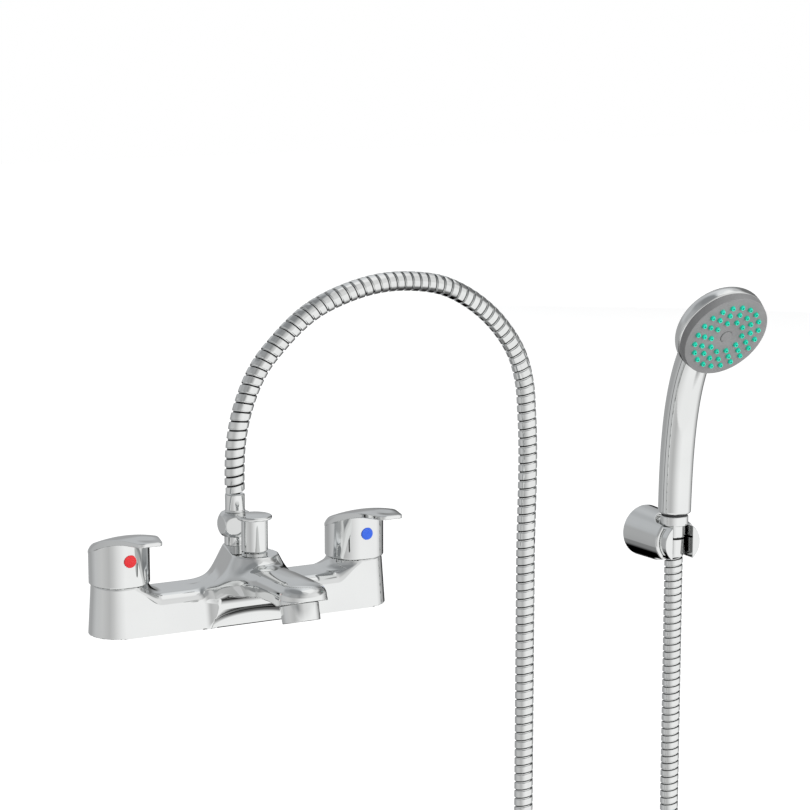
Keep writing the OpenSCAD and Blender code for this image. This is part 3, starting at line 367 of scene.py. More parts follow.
def surface(field, low, high, pitch):
    """Points, quads and normals of the surface where the field is zero."""
    axes = [np.arange(a - pitch, b + 2 * pitch, pitch) for a, b in zip(low, high)]
    f = field(*np.meshgrid(*axes, indexing="ij"))
    inside = f < 0
    size = [n - 1 for n in f.shape]
    total = np.zeros(size + [3], np.float32)
    hits = np.zeros(size, np.int16)
    crossings = []
    for axis in range(3):
        near = [slice(None)] * 3
        far = [slice(None)] * 3
        near[axis], far[axis] = slice(0, -1), slice(1, None)
        a, b = f[tuple(near)], f[tuple(far)]
        cross = inside[tuple(near)] != inside[tuple(far)]
        at = np.argwhere(cross)
        t = a[cross] / (a[cross] - b[cross])
        spot = at.astype(float)
        spot[:, axis] += t
        others = [k for k in range(3) if k != axis]
        corners = []
        for du, dv in ((0, 0), (1, 0), (1, 1), (0, 1)):
            cell = at.copy()
            cell[:, others[0]] -= du
            cell[:, others[1]] -= dv
            ok = np.all((cell >= 0) & (cell < size), axis=1)
            idx = tuple(cell[ok].T)
            np.add.at(total, idx, spot[ok].astype(np.float32))
            np.add.at(hits, idx, 1)
            corners.append(cell)
        crossings.append((axis, at, corners, inside[tuple(near)][cross]))
    live = hits > 0
    number = np.full(size, -1, np.int64)
    number[live] = np.arange(live.sum())
    p = total[live] / hits[live][:, None] * pitch + np.array([ax[0] for ax in axes])
    quads = []
    for axis, at, corners, start_inside in crossings:
        ids = np.stack([number[tuple(np.clip(c, 0, np.array(size) - 1).T)] for c in corners], 1)
        flip = start_inside if axis != 1 else ~start_inside
        ids[~flip] = ids[~flip][:, ::-1]
        quads.append(ids)
    quads = np.vstack(quads)
    p = p.astype(float)
    for _ in range(4):
        g = slope_of(field, p)
        d = field(*p.T) / np.maximum((g * g).sum(1), 0.05)
        p -= g * np.clip(d, -0.4 * pitch, 0.4 * pitch)[:, None]
    g = slope_of(field, p)
    return p, quads, g / np.maximum(np.linalg.norm(g, axis=1), 1e-9)[:, None]


# ---------------------------------------------------------------- hose
ROUTE = np.array([
    (0, 6.5, 87), (0, 6.5, 102), (1, 6.5, 120), (8, 6, 151), (21.5, 6, 177), (33, 5.5, 190),
    (59, 5, 211.5), (88, 4.5, 223.5), (117, 4, 229), (140, 4, 228.5), (164, 3.5, 224),
    (187, 3, 212.5), (210.5, 2.5, 192), (226, 2, 168), (232, 2, 147), (234, 2, 125),
    (234, 2, 13), (234, 2, -180), (234, 2, -338), (234, 2, -373), (234.3, 2, -390.3),
    (236.7, 2, -407.5), (242.8, 1.9, -423.6), (253, 1.7, -437.6), (266.5, 1.5, -448.3),
    (282.4, 1.3, -455.1), (299.5, 1, -457.4), (316.6, 0.7, -455.1), (332.5, 0.5, -448.3),
    (346, 0.3, -437.6), (356.2, 0.1, -423.6), (362.3, 0, -407.5), (364.7, 0, -390.3),
    (365, 0, -373), (365, 0, -338), (365, 0, -200), (365, 0, -12.53), (365, 0, 2.47)], float)
HOSE_R = 7.0


def read_off(at, run, rows):
    """Points or directions read off at places along the run."""
    return np.c_[[np.interp(at, run, rows[:, k]) for k in range(3)]].T


def past_bend(run):
    """From 0 to 1 round the hanging bend: the windings are a little closer on the handset's side."""
    return ease((run - 760) / 300)


def hose_line(count):
    """Points spaced evenly along the smooth line through the route."""
    d = np.linalg.norm(np.diff(ROUTE, axis=0), axis=1)
    s = np.r_[0, np.cumsum(d)]
    way = [(ROUTE[1] - ROUTE[0]) / d[0]]
    for i in range(1, len(ROUTE) - 1):
        a, b = d[i - 1], d[i]
        way.append(((ROUTE[i + 1] - ROUTE[i]) * a / b + (ROUTE[i] - ROUTE[i - 1]) * b / a) / (a + b))
    way.append((ROUTE[-1] - ROUTE[-2]) / d[-1])
    way = np.array(way)
    u = np.linspace(0, s[-1], 6000)
    i = np.clip(np.searchsorted(s, u, side="right") - 1, 0, len(d) - 1)
    t, leg = ((u - s[i]) / d[i])[:, None], d[i][:, None]
    p = (ROUTE[i] * (2 * t ** 3 - 3 * t ** 2 + 1) + way[i] * leg * (t ** 3 - 2 * t ** 2 + t)
         + ROUTE[i + 1] * (3 * t ** 2 - 2 * t ** 3) + way[i + 1] * leg * (t ** 3 - t ** 2))
    run = np.r_[0, np.cumsum(np.linalg.norm(np.diff(p, axis=0), axis=1))]
    even = np.linspace(0, run[-1], count)
    return even, read_off(even, run, p)


def hose_mesh():
    """A strip wound into a tube: broad lands with a step down to a narrow groove, on a right-hand helix, with a mark
    per point for the painted shade just past each step.
    """
    run, line = hose_line(3001)
    way = np.gradient(line, run, axis=0)
    way /= np.linalg.norm(way, axis=1)[:, None]
    side = np.cross(way, (0, 1, 0))
    side /= np.linalg.norm(side, axis=1)[:, None]
    back = np.cross(way, side)
    pitch = 6.45 - 0.85 * past_bend(run)
    wound = np.r_[0, np.cumsum(np.diff(run) / ((pitch[1:] + pitch[:-1]) / 2))]
    turns = int(wound[-1])
    segs = 28
    # one winding: shares of the pitch, with the radius there
    profile = [(0.0, 5.95), (0.015, 6.8), (0.05, HOSE_R), (0.38, HOSE_R + 0.02), (0.72, HOSE_R), (0.755, 6.8),
               (0.77, 5.95), (0.85, 5.92), (0.865, 5.92), (0.94, 5.9)]
    m = len(profile)
    phi = np.arange(turns * segs + 1) / segs
    points = np.empty((len(phi), m, 3))
    a = 2 * math.pi * phi[:, None]
    # the groove's painted shade is wider before the bend
    wide = 0.06 - 0.06 * past_bend(np.interp(phi, wound, run))
    for j, (share, r) in enumerate(profile):
        s = np.interp(np.clip(phi + share + wide * (0.84 < share < 0.9), 0, wound[-1]), wound, run)
        c, u, w = (read_off(s, run, rows) for rows in (line, side, back))
        points[:, j] = c + r * (np.cos(a) * u + np.sin(a) * w)
    faces = []
    n = len(phi)
    index = np.arange(n * m).reshape(n, m)
    for j in range(m - 1):
        faces.append(np.stack([index[:-1, j], index[1:, j], index[1:, j + 1], index[:-1, j + 1]], 1))
    a, b = index[:-1 - segs, m - 1], index[1:-segs, m - 1]
    faces.append(np.stack([a, b, index[segs + 1:, 0], index[segs:-1, 0]], 1))
    # painted shade: the strip just past each groove's step is marked 1, so the hose steel is darkened there
    depth = np.tile([1.0 if 0.76 < share < 0.86 else 0.0 for share, _ in profile], n)
    return points.reshape(-1, 3), np.vstack(faces), depth


points, faces, depth = hose_mesh()
hose = add_mesh("hose", points, faces, HOSE_STEEL, None, ["hose_tube"], crease=40)
# the depth mark paints shade into the hose's groove
store(hose, "depth", depth)
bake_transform(hose)


# ---------------------------------------------------------------- fittings at the hose's ends
def fitting(name, corners, origin, mat, body, node, tilt=0.0, neck=None):
    """A turned piece; where its radius is less than the neck's, it is marked for painted shade, to show a dark gap."""
    pts, fcs = lathe(rounded(corners))
    piece = add_mesh(name, turn_x(pts, tilt, origin), fcs, mat, body, [node])
    if neck:
        store(piece, "gap", np.hypot(pts[:, 0], pts[:, 1]) < neck)
    return piece


ferrule = fitting("ferrule", [(4, 0, 0), (6.9, 0, 0.5), (7.25, 1.0, 0.5), (6.9, 2.0, 0.4), (6.95, 12.6, 0.4),
                              (6.3, 13, 0.2), (4, 13, 0), (4, 0, 0)],
                  (0, OUTLET_Y, 74), CHROME, "fixed", "hose_ferrule")
# painted shade: the sleeve's neck, in the gap under the nut, is darkened
end_sleeve = fitting("end_sleeve", [(4, 0, 0), (6.7, 0, 0.3), (7.1, 0.6, 0.3), (7.95, 14.3, 0.25), (5.8, 14.5, 0.1),
                                    (5.8, 16.0, 0), (4, 16, 0), (4, 0, 0)],
                     (BRACKET_X, 0, 2.474), CHROME, "hose_end", "hose_sleeve", neck=6.2)
end_nut = fitting("end_nut", [(6.0, -4.5, 0), (6.0, -9.3, 0), (8.3, -9.3, 0.25), (8.6, -8.6, 0.4), (8.6, 0, 0.4),
                              (10.7, 0, 0.5), (10.7, 7.3, 0.7), (7.1, 7.3, 0.2), (6.0, -4.5, 0)],
                  (BRACKET_X, 0, 27.674), CHROME, "hose_end", "hose_cone_nut")
end_washer = fitting("end_washer", [(7.4, 0, 0), (9.9, 0, 0.4), (9.9, 3, 0.4), (7.4, 3, 0), (7.4, 0, 0)],
                     (BRACKET_X, 0, 33.674), RUBBER, "hose_end", "hose_washer")


def nut_field(x, y, z):
    """A ball with six flats, cut level above and below, and bored from below."""
    r = np.sqrt(x * x + y * y + z * z) - 12.6
    turn = math.radians(35)
    for k in range(3):
        a = turn + math.radians(30 + 60 * k)
        r = round_max(r, np.abs(x * math.cos(a) + y * math.sin(a)) - 11, 0.25)
    r = round_max(r, np.abs(z) - 8.25, 0.5)
    return np.maximum(r, -np.maximum(np.hypot(x, y) - 6.25, z - 6))


p, quads, normals = surface(nut_field, (-13, -13, -9), (13, 13, 9), 0.4)
ball_nut = add_mesh("ball_nut", p + (0, OUTLET_Y, 65.75), quads, CHROME, "fixed", ["hose_nut"], normals)
(hose_line(400)[1] * MM).tolist()


# ---------------------------------------------------------------- mixer body
# v is the distance towards the front, -y
BAR_FRONT, COVE_R = 19.9, 10
TOWER_FOOT, TOWER_H, TOWER_TOP = 22.5, 28.5, 51
NOSE_V, NOSE_R = 101.2, 16.9
# The aerator's joint under the nose: how far forward and how high its middle is, and how many degrees it leans
REACH, JOINT_Z, JOINT_LEAN = 97.0, 31, 17


def eased_line(points, soft):
    """A function through points of (distance, height), with its corners softened."""
    grid = np.arange(-60, 200, 0.2)
    rows = np.interp(grid, *np.array(points, float).T)
    reach = np.arange(-3 * soft, 3 * soft + 0.1, 0.2)
    weight = np.exp(-(reach / soft) ** 2 / 2)
    pad = len(reach) // 2
    rows = np.convolve(np.pad(rows, pad, mode="edge"), weight / weight.sum(), "same")[pad:-pad]
    return lambda v: np.interp(v, grid, rows)


spout_edge = eased_line([(10, 14), (18, 0.6), (22, 0.6), (27.6, 9), (28.6, 22), (36, 26.4), (56, 28.2), (68, 30.5),
                         (84, 31.5)], 0.8)
spout_arch = eased_line([(10, 2), (19.9, 2.8), (20.4, 5.4), (21.5, 8.3), (23.3, 10.7), (25.5, 12.6), (34, 18.1),
                         (39, 24.5), (45, 27.4), (56, 28.3), (68, 30.6), (84, 31.5)], 0.8)
spout_top = eased_line([(19.9, 36.2), (45, 45.7), (90, 47.1), (101.2, 47.0)], 5)


def along_spout(v):
    """From 0 at the bar's front to 1 where the spout has narrowed."""
    return np.clip((v - BAR_FRONT) / 45, 0, 1)


def spout_width(v):
    """Half the spout's width."""
    return NOSE_R + 17.1 * (1 - along_spout(v)) ** 2


def spout_under(x, v):
    """Height of the spout's underside: an arch across it, which flattens towards the nose."""
    side = np.sqrt(np.clip(1 - (x / spout_width(v)) ** 2, 0, 1))
    edge = spout_edge(v)
    return edge + np.maximum(spout_arch(v) - edge, 0) * side


def pear(x, y):
    """Distance in plan from the outline of the tower's top."""
    h, r1, r2 = OUTLET_Y - DIVERTER_Y, 8.7, 16.2
    px, py = np.abs(x), OUTLET_Y - y
    b = (r1 - r2) / h
    a = math.sqrt(1 - b * b)
    k = a * py - b * px
    mid = a * px + b * py - r1
    return np.where(k < 0, np.hypot(px, py) - r1, np.where(k > a * h, np.hypot(px, py - h) - r2, mid))


def can(x, y, z, cx, cy, r, low, high):
    """An upright cylinder."""
    return np.maximum(np.hypot(x - cx, y - cy) - r, np.maximum(low - z, z - high))


def mixer_field(x, y, z):
    v = -y
    ax = np.abs(x)
    # the bar with its two pillars: one tapered wall all round
    wall_r = 22 - 2.3 * z / 35
    wall = np.hypot(np.maximum(ax - PILLAR_X, 0), y) - wall_r
    # its top: level along the bar, with a cove up to each pillar's rim
    rho = np.hypot(ax - PILLAR_X, y)
    t = np.clip(29.4 - rho, 0, 9.682)
    lean = np.sqrt(COVE_R ** 2 - t * t)
    top = 37.5 - lean
    edge = 0.7 + 7.3 * ease((rho - 20.5) / 10)
    base = round_max(wall, (z - top) * lean / COVE_R, edge)
    # the hollow under the spout, worked out once in plan
    if x.ndim == 3:
        px, pv = x[:, :, :1], v[:, :, :1]
    else:
        px, pv = x, v
    under = spout_under(px, pv)
    steep = np.hypot((spout_under(px + 0.2, pv) - spout_under(px - 0.2, pv)) / 0.4,
                     (spout_under(px, pv + 0.2) - spout_under(px, pv - 0.2)) / 0.4)
    hollow = (under - z) / np.sqrt(1 + steep * steep)
    # the tower, which spreads towards its foot, less so at the front
    q = np.clip(1 - (z - TOWER_FOOT) / TOWER_H, 0, 1.05)
    foot = 17 * ease((27 - v) / 16)
    spread = 14.5 * q + foot * q ** 7
    fall = (14.5 + 7 * foot * q ** 6) / TOWER_H
    tower = (pear(x, y) - spread) / np.sqrt(1 + fall * fall)
    tower = blend_max(tower, y - wall_r + 1.5, 7)
    side = ax - spout_width(np.maximum(v, BAR_FRONT)) - 2 * np.maximum(BAR_FRONT - v, 0)
    tower = blend_max(tower, side, 4)
    tower = round_max(tower, z - TOWER_TOP, 0.7)
    tower = blend_max(tower, 23 - z, 3)
    tower = round_max(tower, hollow, 1)
    # the spout: a rounded top on upright sides, and the round boss of its nose
    along = along_spout(v)
    w, high = spout_width(v), spout_top(v)
    out = np.where(v > NOSE_V, np.hypot(x, v - NOSE_V), ax)
    mid = 26.5 + 10.7 * along
    n = 1.75 + 0.95 * along ** 0.6
    ux, uz = np.maximum(out / w, 1e-4), np.maximum((z - mid) / (high - mid), 1e-4)
    g = (ux ** n + uz ** n) ** (1 / n)
    tilt = np.hypot(ux ** (n - 1) / w, uz ** (n - 1) / (high - mid)) * g ** (1 - n)
    spout = (g - 1) / np.maximum(tilt, 0.02)
    spout = np.maximum(spout, 4 - v)
    spout = round_max(spout, hollow, 1.0)
    boss = np.maximum(np.hypot(x, v - NOSE_V) - NOSE_R, z - 36)
    spout = blend_min(spout, boss, 3)
    upper = blend_min(tower, spout, 9)
    joint = JOINT_Z + (v - REACH) * math.tan(math.radians(JOINT_LEAN))
    upper = np.where(v > 75, round_max(upper, (joint - z) * 0.956, 0.4), upper)
    body = blend_min(base, upper, 5 + 2 * ease((32 - z) / 10))
    body = np.maximum(body, -z)
    # bores, threads and the pockets underneath
    cuts = [can(ax, y, z, PILLAR_X, 0, 10.1, 15, 99), can(ax, y, z, PILLAR_X, 0, 7, 8, 20),
            can(ax, y, z, PILLAR_X, 0, 12.06, -9, 12),
            np.maximum(can(ax, y, z, PILLAR_X, 0, 18.1, -9, 2), 13.9 - rho),
            can(x, y, z, 0, DIVERTER_Y, 8, 30, 99), can(x, y, z, 0, OUTLET_Y, 7, 43, 99),
            np.maximum(np.abs(ax - 34) - 22, np.maximum(np.abs(y) - 13.3, z - 10))]
    ca, sa = math.cos(math.radians(JOINT_LEAN)), math.sin(math.radians(JOINT_LEAN))
    depth = (z - JOINT_Z) * ca - (v - REACH) * sa
    ring = np.hypot(x, (v - REACH) * ca + (z - JOINT_Z) * sa)
    cuts.append(np.maximum(ring - 11.1, np.maximum(depth - 5.6, -9 - depth)))
    for cut in cuts:
        body = np.maximum(body, -cut)
    return body


p, quads, normals = surface(mixer_field, (-113, -119, -1), (113, 24, 52), 0.8)
add_mesh("mixer_casting", p, quads, CHROME, "fixed", ["mixer_body"], normals)


# ---------------------------------------------------------------- handles
HANDLE_Z, INDEX_H = 35, 19
LIP_R, LEVER_END = 21.2, 61


def handle_field(x, y, z):
    v = -y
    ax = np.abs(x)
    # the lever plate: its outline, and its skin, which rises from the back and has a dimple near its end
    w = LIP_R - 13.7 * (np.maximum(v, 0) / LEVER_END) ** 1.2
    taper = 0.27 * (np.maximum(v, 0) / LEVER_END) ** 0.2
    out = np.where(v < 0, np.hypot(x, v) - LIP_R, (ax - w) / np.sqrt(1 + taper * taper))
    out = round_max(out, (v - LEVER_END) + 0.012 * x * x, 3)
    dimple = 0.8 * np.exp(-((v - 47) / 9) ** 2 - (x / 6) ** 2)
    fall = 1 - np.clip((v + LIP_R) / 63.2, 0, 1)
    skin = 40.2 - 15.7 * fall ** 1.6 - 3.5 * (x / LIP_R) ** 2 - dimple
    lean = np.sqrt(1 + (0.4 * fall ** 0.6) ** 2 + (7 * x / LIP_R ** 2) ** 2)
    thick = 5.2 - 2.5 * np.clip(v / LEVER_END, 0, 1)
    plate = round_max(out, (z - skin) / lean, 0.5 + 4.2 * ease((14 - v) / 22))
    plate = round_max(plate, (skin - thick - z) / lean, 0.35)
    r = np.hypot(x, v)
    skirt = round_max(round_max(r - 21, 0.4 - z, 0.5), z - skin + 3, 0.3)
    body = blend_min(skirt, plate, 0.6)
    # the hollow, the spindle's bore, and the bores of the index and the grub screw
    index = np.hypot(x, z - INDEX_H)
    cuts = [np.maximum(r - 17.9, z - 14), np.maximum(r - 4.1, z - 28),
            np.maximum(index - 4.15, 18.5 - v), np.maximum(index - 2.6, -v)]
    for cut in cuts:
        body = np.maximum(body, -cut)
    return body


p, quads, normals = surface(handle_field, (-22, -63, 0), (22, 22, 42), 0.55)
pts, fcs = lathe(rounded([(0, -2.5, 0), (4.1, -2.5, 0.2), (4.1, -0.9, 0), (4.4, -0.8, 0.05), (4.4, 0.3, 0.3),
                          (0, 0.45, 0)]), 64)
for hue, x, mat, slot in (("hot", -PILLAR_X, RED, "red_plastic"), ("cold", PILLAR_X, BLUE, "blue_plastic")):
    add_mesh(hue + "_lever", p + (x, 0, HANDLE_Z), quads, CHROME, hue + "_handle", [hue + "_handle"], normals)
    add_mesh(hue + "_button", turn_x(pts, 90, (x, -21, HANDLE_Z + INDEX_H)), fcs, mat, hue + "_handle",
             [hue + "_index"])


# ---------------------------------------------------------------- handset
GRIP_Z = 36.974
# The spray face's middle, forward of and above the grip's foot, and how many degrees it looks down
FACE_V, FACE_H, TILT = 63.5, 144.5, 30
FACE_AT = (BRACKET_X, -FACE_V, GRIP_Z + FACE_H)
HEAD_R, HEAD_DEPTH = 35.9, 18


def grip_line():
    """The grip's middle line in its own plane, and its radius along it."""
    t = np.linspace(0, 1, 61)[:, None]
    ends = np.array([(0, 0), (1.5, 70), (8, 118), (46.18, 154.5)], float)
    line = (ends[0] * (1 - t) ** 3 + 3 * ends[1] * t * (1 - t) ** 2 + 3 * ends[2] * t * t * (1 - t) + ends[3] * t ** 3)
    return line, 12.6 + 0.3 * np.sin(math.pi * t[:, 0])


GRIP, GRIP_R = grip_line()


def grip_distance(v, h):
    """Distance in the grip's own plane from its middle line, and how far along the line that is."""
    shape = v.shape
    v, h = v.ravel(), h.ravel()
    best = np.full(v.shape, 1e9)
    along = np.zeros(v.shape)
    for i in range(len(GRIP) - 1):
        a, d = GRIP[i], GRIP[i + 1] - GRIP[i]
        t = np.clip(((v - a[0]) * d[0] + (h - a[1]) * d[1]) / (d @ d), 0, 1)
        gap = np.hypot(v - a[0] - t * d[0], h - a[1] - t * d[1])
        near = gap < best
        best = np.where(near, gap, best)
        along = np.where(near, i + t, along)
    return best.reshape(shape), along.reshape(shape)


def handset_field(x, y, z):
    v, h = -y, z - GRIP_Z
    if x.ndim == 3:
        gap, along = grip_distance(v[0], h[0])
        gap, along = gap[None], along[None]
    else:
        gap, along = grip_distance(v, h)
    r = np.interp(along, np.arange(len(GRIP)), GRIP_R)
    grip = np.sqrt(x * x + gap * gap) - r
    grip = round_max(grip, -h, 1.5)
    # the head behind the spray face
    c, s = math.cos(math.radians(TILT)), math.sin(math.radians(TILT))
    dv, dh = v - FACE_V, h - FACE_H
    depth = -(dv * c - dh * s)
    ring = np.hypot(x, dv * s + dh * c)
    back = np.maximum(depth - 10, 0)
    g = np.hypot(ring / HEAD_R, back / HEAD_DEPTH)
    tilt = np.hypot(ring / HEAD_R ** 2, back / HEAD_DEPTH ** 2) / np.maximum(g, 1e-6)
    head = (g - 1) / np.maximum(tilt, 0.02)
    head = round_max(head, 6 - depth, 2.2)
    grip = round_max(grip, 7 - depth - 40 * ease((122 - h) / 14), 1.0)
    body = blend_min(head, grip, 5)
    # the socket for the spigot
    return np.maximum(body, -np.maximum(np.hypot(x, v) - 8.1, h - 10))


def seam_distance(p):
    """Distance of each point from the parting line between the grip's front and back shells."""
    v, h = -p[:, 1], p[:, 2] - GRIP_Z
    along = grip_distance(v, h)[1]
    at = np.clip(along.astype(int), 0, len(GRIP) - 2)
    way = GRIP[at + 1] - GRIP[at]
    way /= np.linalg.norm(way, axis=1)[:, None]
    off = (v - GRIP[at, 0]) * way[:, 1] - (h - GRIP[at, 1]) * way[:, 0]
    r = np.interp(along, np.arange(len(GRIP)), GRIP_R)
    return np.where((h > 1) & (h < 128), off - 0.22 * r, 9.0)


p, quads, normals = surface(handset_field, (-37, -100, GRIP_Z - 1), (37, 14, GRIP_Z + 190), 0.9)
shell = add_mesh("handset_shell", p + (BRACKET_X, 0, 0), quads, CHROME_PLASTIC, "handset",
                 ["handset_body"], normals)
store(shell, "seam", seam_distance(p))

# Rings of nozzles: how many, at what radius, and the first one's angle
RINGS = ((10, 13.6, 0), (15, 20.4, 6), (20, 26.9, 9))
JETS = [(ring_r * math.cos(math.radians(start + 360 * i / count)),
         ring_r * math.sin(math.radians(start + 360 * i / count)))
        for count, ring_r, start in RINGS for i in range(count)]

face_line = rounded([(29, -6, 0), (35.6, -6, 0.3), (34.5, 0, 0.5), (4.9, 0, 0.1), (4.8, -1.9, 0),
                     (29, -1.95, 0), (29, -6, 0)])
pts, fcs = lathe(face_line, 128)
add_mesh("spray_face", turn_x(pts, 90 + TILT, FACE_AT), fcs, GREY, "handset", ["handset_face"])

nozzle = lathe(rounded([(0.6, -0.4, 0), (0.85, 2.0, 0.12), (1.45, 2.05, 0.3), (1.95, 0.35, 0.3), (2.1, -1.8, 0),
                        (0, -1.8, 0)])[::-1], 24)
parts = [(nozzle[0] + (jx, jy, 0), nozzle[1]) for jx, jy in JETS]
parts.append(lathe(rounded([(6, -3.4, 0), (29, -3.4, 0.2), (29.5, -2.05, 0.2), (6, -2.0, 0), (6, -3.4, 0)]), 64))
pts, fcs = joined(*parts)
jets = add_mesh("nozzles", turn_x(pts, 90 + TILT, FACE_AT), fcs, GREEN, "handset", ["nozzle_mat"],
                crease=50)
# painted shade: each nozzle is darkened in its hole and dimmed round its foot; the mat behind them isn't
ring = np.hypot(nozzle[0][:, 0], nozzle[0][:, 1])
nozzle_shade = np.tile(np.where(ring < 0.7, 1.0, np.where(ring > 1.8, 0.35, 0.0)), len(JETS))
store(jets, "gap", np.r_[nozzle_shade, np.zeros(len(pts) - len(nozzle_shade))])

pts, fcs = lathe(rounded([(0, -0.9, 0), (4.65, -0.9, 0.1), (4.6, 0.5, 0.35), (0, 0.6, 0)]), 64)
add_mesh("centre_cap", turn_x(pts, 90 + TILT, FACE_AT), fcs, GREY, "handset", ["face_cap"])


# ---------------------------------------------------------------- fittings on the mixer body
fitting("diverter_button", [(0, 12, 0), (3.1, 12, 0), (3.1, 0, 0.2), (9.2, 0, 0.7), (9.15, 22.4, 0.4),
                            (12.3, 22.4, 1.1), (12.3, 25, 1.2), (0, 25.1, 0)],
        (0, DIVERTER_Y, 53), CHROME, "diverter", "diverter_knob")
fitting("aerator_ring", [(8.6, -11.4, 0), (8.6, -12, 0.2), (12.9, -12, 0.5), (13.3, -0.2, 0.3), (12.4, 0, 0.1),
                         (10.9, 0, 0), (10.9, 4, 0.2), (9.6, 4, 0.2), (9.6, -11, 0)],
        (0, -REACH, JOINT_Z), CHROME, "fixed", "aerator_collar", -JOINT_LEAN)
fitting("outlet_neck", [(4, -8, 0), (6.9, -8, 0.3), (6.9, 0, 0), (7.9, 0, 0.3), (7.7, 0.9, 0.2), (7.7, 6.1, 0.3),
                        (6.1, 6.5, 0.1), (6.1, 18, 0.3), (4, 18, 0.2), (4, -8, 0)],
        (0, OUTLET_Y, TOWER_TOP), CHROME, "fixed", "outlet_nipple")


# ---------------------------------------------------------------- wall bracket
def upright(x, y, half, back):
    """Distance from an upright slot that is open to the front and round at its back."""
    return np.where(y < back, np.abs(x), np.hypot(x, y - back)) - half


def shell_field(x, y, z):
    r = np.hypot(x, z)
    body = round_max(r - 18.3 - (y + 4) * 1.7 / 45, -4 - y, 2)
    body = round_max(body, y - 41, 0.4)
    body = round_max(body, -np.maximum(r - 15.7, y - 16.1), 0.3)
    body = round_max(body, -upright(x, y, 12, 4), 0.8)
    body = np.maximum(body, -np.maximum(r - 15.6, 29 - y))
    return np.maximum(body, -np.maximum(r - 2.6, -y))


p, quads, normals = surface(shell_field, (-21, -5, -21), (21, 42, 21), 0.5)
add_mesh("bracket_cup", p + (BRACKET_X, 0, BRACKET_Z), quads, CHROME, "fixed", ["bracket_shell"], normals)


def fork_field(x, y, z):
    r = np.hypot(x, z)
    body = round_max(round_max(r - 15.6, -12.5 - y, 0.6), y - 16, 0.3)
    body = round_max(body, -upright(x, y, 9.1, 0), 0.4)
    body = round_max(body, -np.maximum(np.hypot(x, y) - 11.1, 12.374 - z), 0.2)
    return np.maximum(body, -np.maximum(r - 2.5, -y))


p, quads, normals = surface(fork_field, (-16, -13, -16), (16, 17, 16), 0.4)
jaw = add_mesh("bracket_jaw", p + (BRACKET_X, 0, BRACKET_Z), quads, CHROME, "fixed", ["bracket_fork"],
               normals)
# painted shade: the slot's walls are darkened
store(jaw, "gap", np.where((np.abs(p[:, 0]) < 9.25) & (p[:, 1] > -12.2) & (np.abs(p[:, 2]) < 14), 0.45, 0))


# ---------------------------------------------------------------- studio
FLOOR_Z, FLOOR_HALF, TENT_R = -0.468, 9, 5
WHITE_LIGHT = (1, 1, 1, 1)

# The world: white to the camera and in reflections, and a plain soft light on the part
world = bpy.data.worlds.new("studio")
scene.world = world
world.use_nodes = True
graph = Graph(world.node_tree)
world.node_tree.nodes.clear()
seen = graph.add("ShaderNodeLightPath")
plain = graph.math("ADD", graph.math("ADD", seen.outputs["Is Camera Ray"], seen.outputs["Is Glossy Ray"]),
                   seen.outputs["Is Transmission Ray"], clamp=True)
soft = graph.wire("ShaderNodeBackground", WHITE_LIGHT, 0.55)
white = graph.wire("ShaderNodeBackground", WHITE_LIGHT, 1.0)
graph.wire("ShaderNodeOutputWorld", graph.wire("ShaderNodeMixShader", plain, soft, white))


def stage_material(name):
    mat = bpy.data.materials.new(name)
    mat.use_nodes = True
    mat.node_tree.nodes.clear()
    return mat, Graph(mat.node_tree)


def stage_object(name, points, faces, mat):
    mesh = bpy.data.meshes.new(name)
    mesh.from_pydata(points, [], faces)
    mesh.materials.append(mat)
    mesh.shade_smooth()
    obj = bpy.data.objects.new(name, mesh)
    scene.collection.objects.link(obj)
    return obj


# The floor: pale, white to the camera, and it keeps the object's shadow
mat, graph = stage_material("floor")
seen = graph.add("ShaderNodeLightPath")
cloud = graph.ramp(graph.noise(3, 3), [(0.3, (0.42, 0.42, 0.42)), (0.7, (0.45, 0.45, 0.45))])
shown = graph.wire("ShaderNodeAddShader", graph.wire("ShaderNodeBsdfDiffuse", cloud),
                   graph.wire("ShaderNodeEmission", WHITE_LIGHT, 0.87))
bare = graph.wire("ShaderNodeBsdfDiffuse", (0.8, 0.8, 0.8, 1))
graph.wire("ShaderNodeOutputMaterial",
           graph.wire("ShaderNodeMixShader", seen.outputs["Is Camera Ray"], bare, shown))
corners = [(i * FLOOR_HALF, j * FLOOR_HALF, FLOOR_Z) for i, j in ((-1, -1), (1, -1), (1, 1), (-1, 1))]
floor = stage_object("floor", corners, [(0, 1, 2, 3)], mat)
floor.visible_glossy = False

# A soft lamp in front and to the right; the tent makes its own reflections, so none are taken from the lamp
lamp = bpy.data.lights.new("soft_lamp", "AREA")
lamp.size = 1.2
lamp.energy = 20
lamp_at = bpy.data.objects.new("soft_lamp", lamp)
scene.collection.objects.link(lamp_at)
lamp_at.location = (1.0, -2.0, 0.25)
lamp_at.rotation_euler = (Vector((0.15, 0, 0.1)) - lamp_at.location).to_track_quat("-Z", "Y").to_euler()
lamp_at.visible_glossy = False


# The studio's tent, which only reflections show: white in front, grey to the left and behind, and a dark
# gap to the right; its angles are measured about the part, 0 in front and 90 to the right.
def tone(grey, warm=0.0):
    """A linear colour from a grey level of 0 to 255, a little bluer where warm is negative."""
    value = (grey / 255) ** 2.2 / 0.80
    return (value * (1 + warm), value, value * (1 - warm))


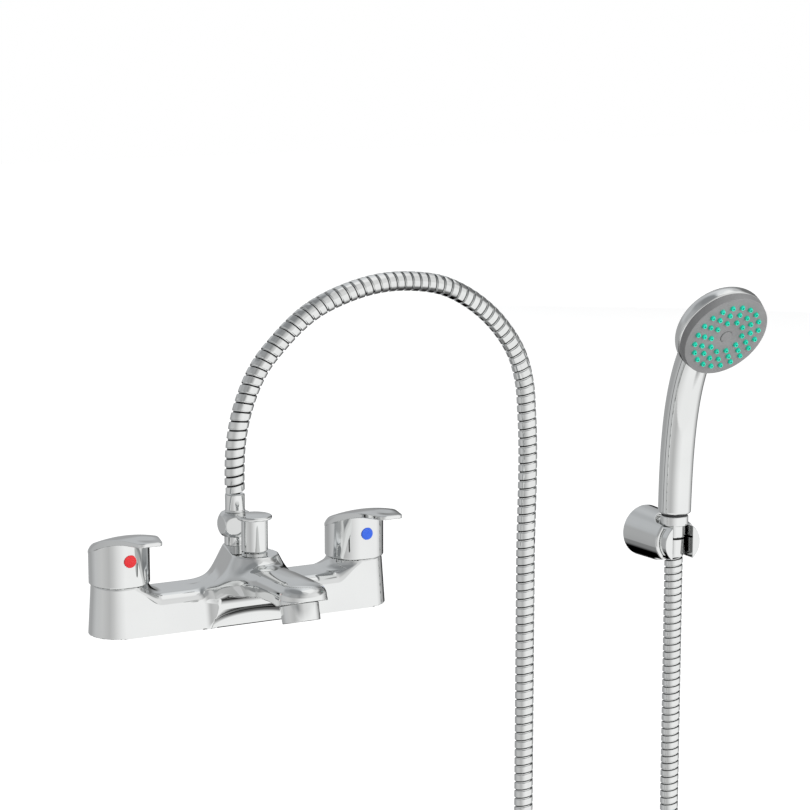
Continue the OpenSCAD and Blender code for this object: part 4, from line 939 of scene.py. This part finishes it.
def tent_material():
    mat, graph = stage_material("tent")
    unit = graph.add("ShaderNodeVectorMath", operation="NORMALIZE")
    graph.feed(unit.inputs[0], graph.add("ShaderNodeTexCoord").outputs["Object"])
    parts = graph.add("ShaderNodeSeparateXYZ")
    graph.feed(parts.inputs[0], unit.outputs[0])
    x, y, z = parts.outputs
    turn = graph.math("ARCTAN2", x, graph.math("MULTIPLY", y, -1.0))
    turn = graph.math("MULTIPLY_ADD", turn, 0.5 / math.pi, 0.5)

    def ring(*stops):
        """Colours round the tent, from stops of (angle, grey) or (angle, grey, warm)."""
        return graph.ramp(turn, [((a + 180) / 360, tone(*c)) for a, *c in stops], "LINEAR")

    nadir = ring((-180, 40), (-160, 120), (-110, 108), (-90, 160), (-65, 230), (12, 231), (28, 105), (85, 80),
                 (105, 25), (130, 10), (180, 5))
    low = ring((-180, 2), (-172, 10), (-163, 118, -0.01), (-150, 125, -0.01), (-130, 148, -0.01), (-110, 190),
               (-90, 208), (-60, 225), (-40, 231), (60, 231), (85, 226), (100, 160), (115, 100), (142, 98),
               (150, 4), (180, 2))
    level = ring((-180, 155, -0.01), (-150, 155, -0.01), (-120, 184, -0.01), (-90, 188), (-60, 175), (-45, 190),
                 (-30, 210), (-15, 224), (0, 233), (72, 232), (84, 215), (97, 185), (110, 150), (120, 95), (128, 25),
                 (147, 18), (153, 140, -0.01), (160, 150, -0.015), (180, 157, -0.015))
    mid = ring((-180, 176, -0.025), (-150, 178, -0.025), (-130, 160, -0.02), (-100, 165, -0.02), (-80, 150, -0.015),
               (-50, 155, -0.01), (-35, 140, -0.01), (-20, 175), (0, 205), (20, 212), (50, 220), (62, 215), (72, 140),
               (85, 112), (125, 108, -0.01), (140, 155, -0.02), (155, 177, -0.025), (180, 176, -0.025))
    high = ring((-180, 165, -0.03), (-150, 140, -0.03), (-100, 150, -0.03), (-60, 148, -0.02), (-35, 138, -0.02),
                (-15, 165, -0.01), (0, 186), (15, 211), (95, 211), (112, 180, -0.01), (135, 211, -0.02),
                (155, 205, -0.02), (180, 168, -0.03))
    zenith = ring((-180, 156, -0.035), (-160, 131, -0.035), (-30, 128, -0.03), (-15, 156, -0.02), (0, 195), (20, 195),
                  (32, 232), (112, 234), (125, 216, -0.02), (145, 216, -0.02), (180, 160, -0.035))

    # from below to above, each ring passing to the next between two heights in degrees
    colour = nadir
    for upper, start, end in ((low, -60, -41), (level, -27, -25), (mid, 6, 14), (high, 34, 44), (zenith, 50, 60)):
        share = graph.spread(z, 0.0, 1.0, math.sin(math.radians(start)), math.sin(math.radians(end)))
        colour = graph.mix(share, colour, upper)
    graph.wire("ShaderNodeOutputMaterial", graph.wire("ShaderNodeEmission", colour))
    return mat


arc = [math.radians(a) for a in np.linspace(-90, 90, 25)]
points, faces = lathe([(TENT_R * max(math.cos(a), 0), TENT_R * math.sin(a)) for a in arc], 48)
tent = stage_object("tent", points.tolist(), [face[::-1] for face in faces], tent_material())
tent.visible_camera = False
tent.visible_transmission = False
tent.visible_shadow = False
tent.visible_volume_scatter = False
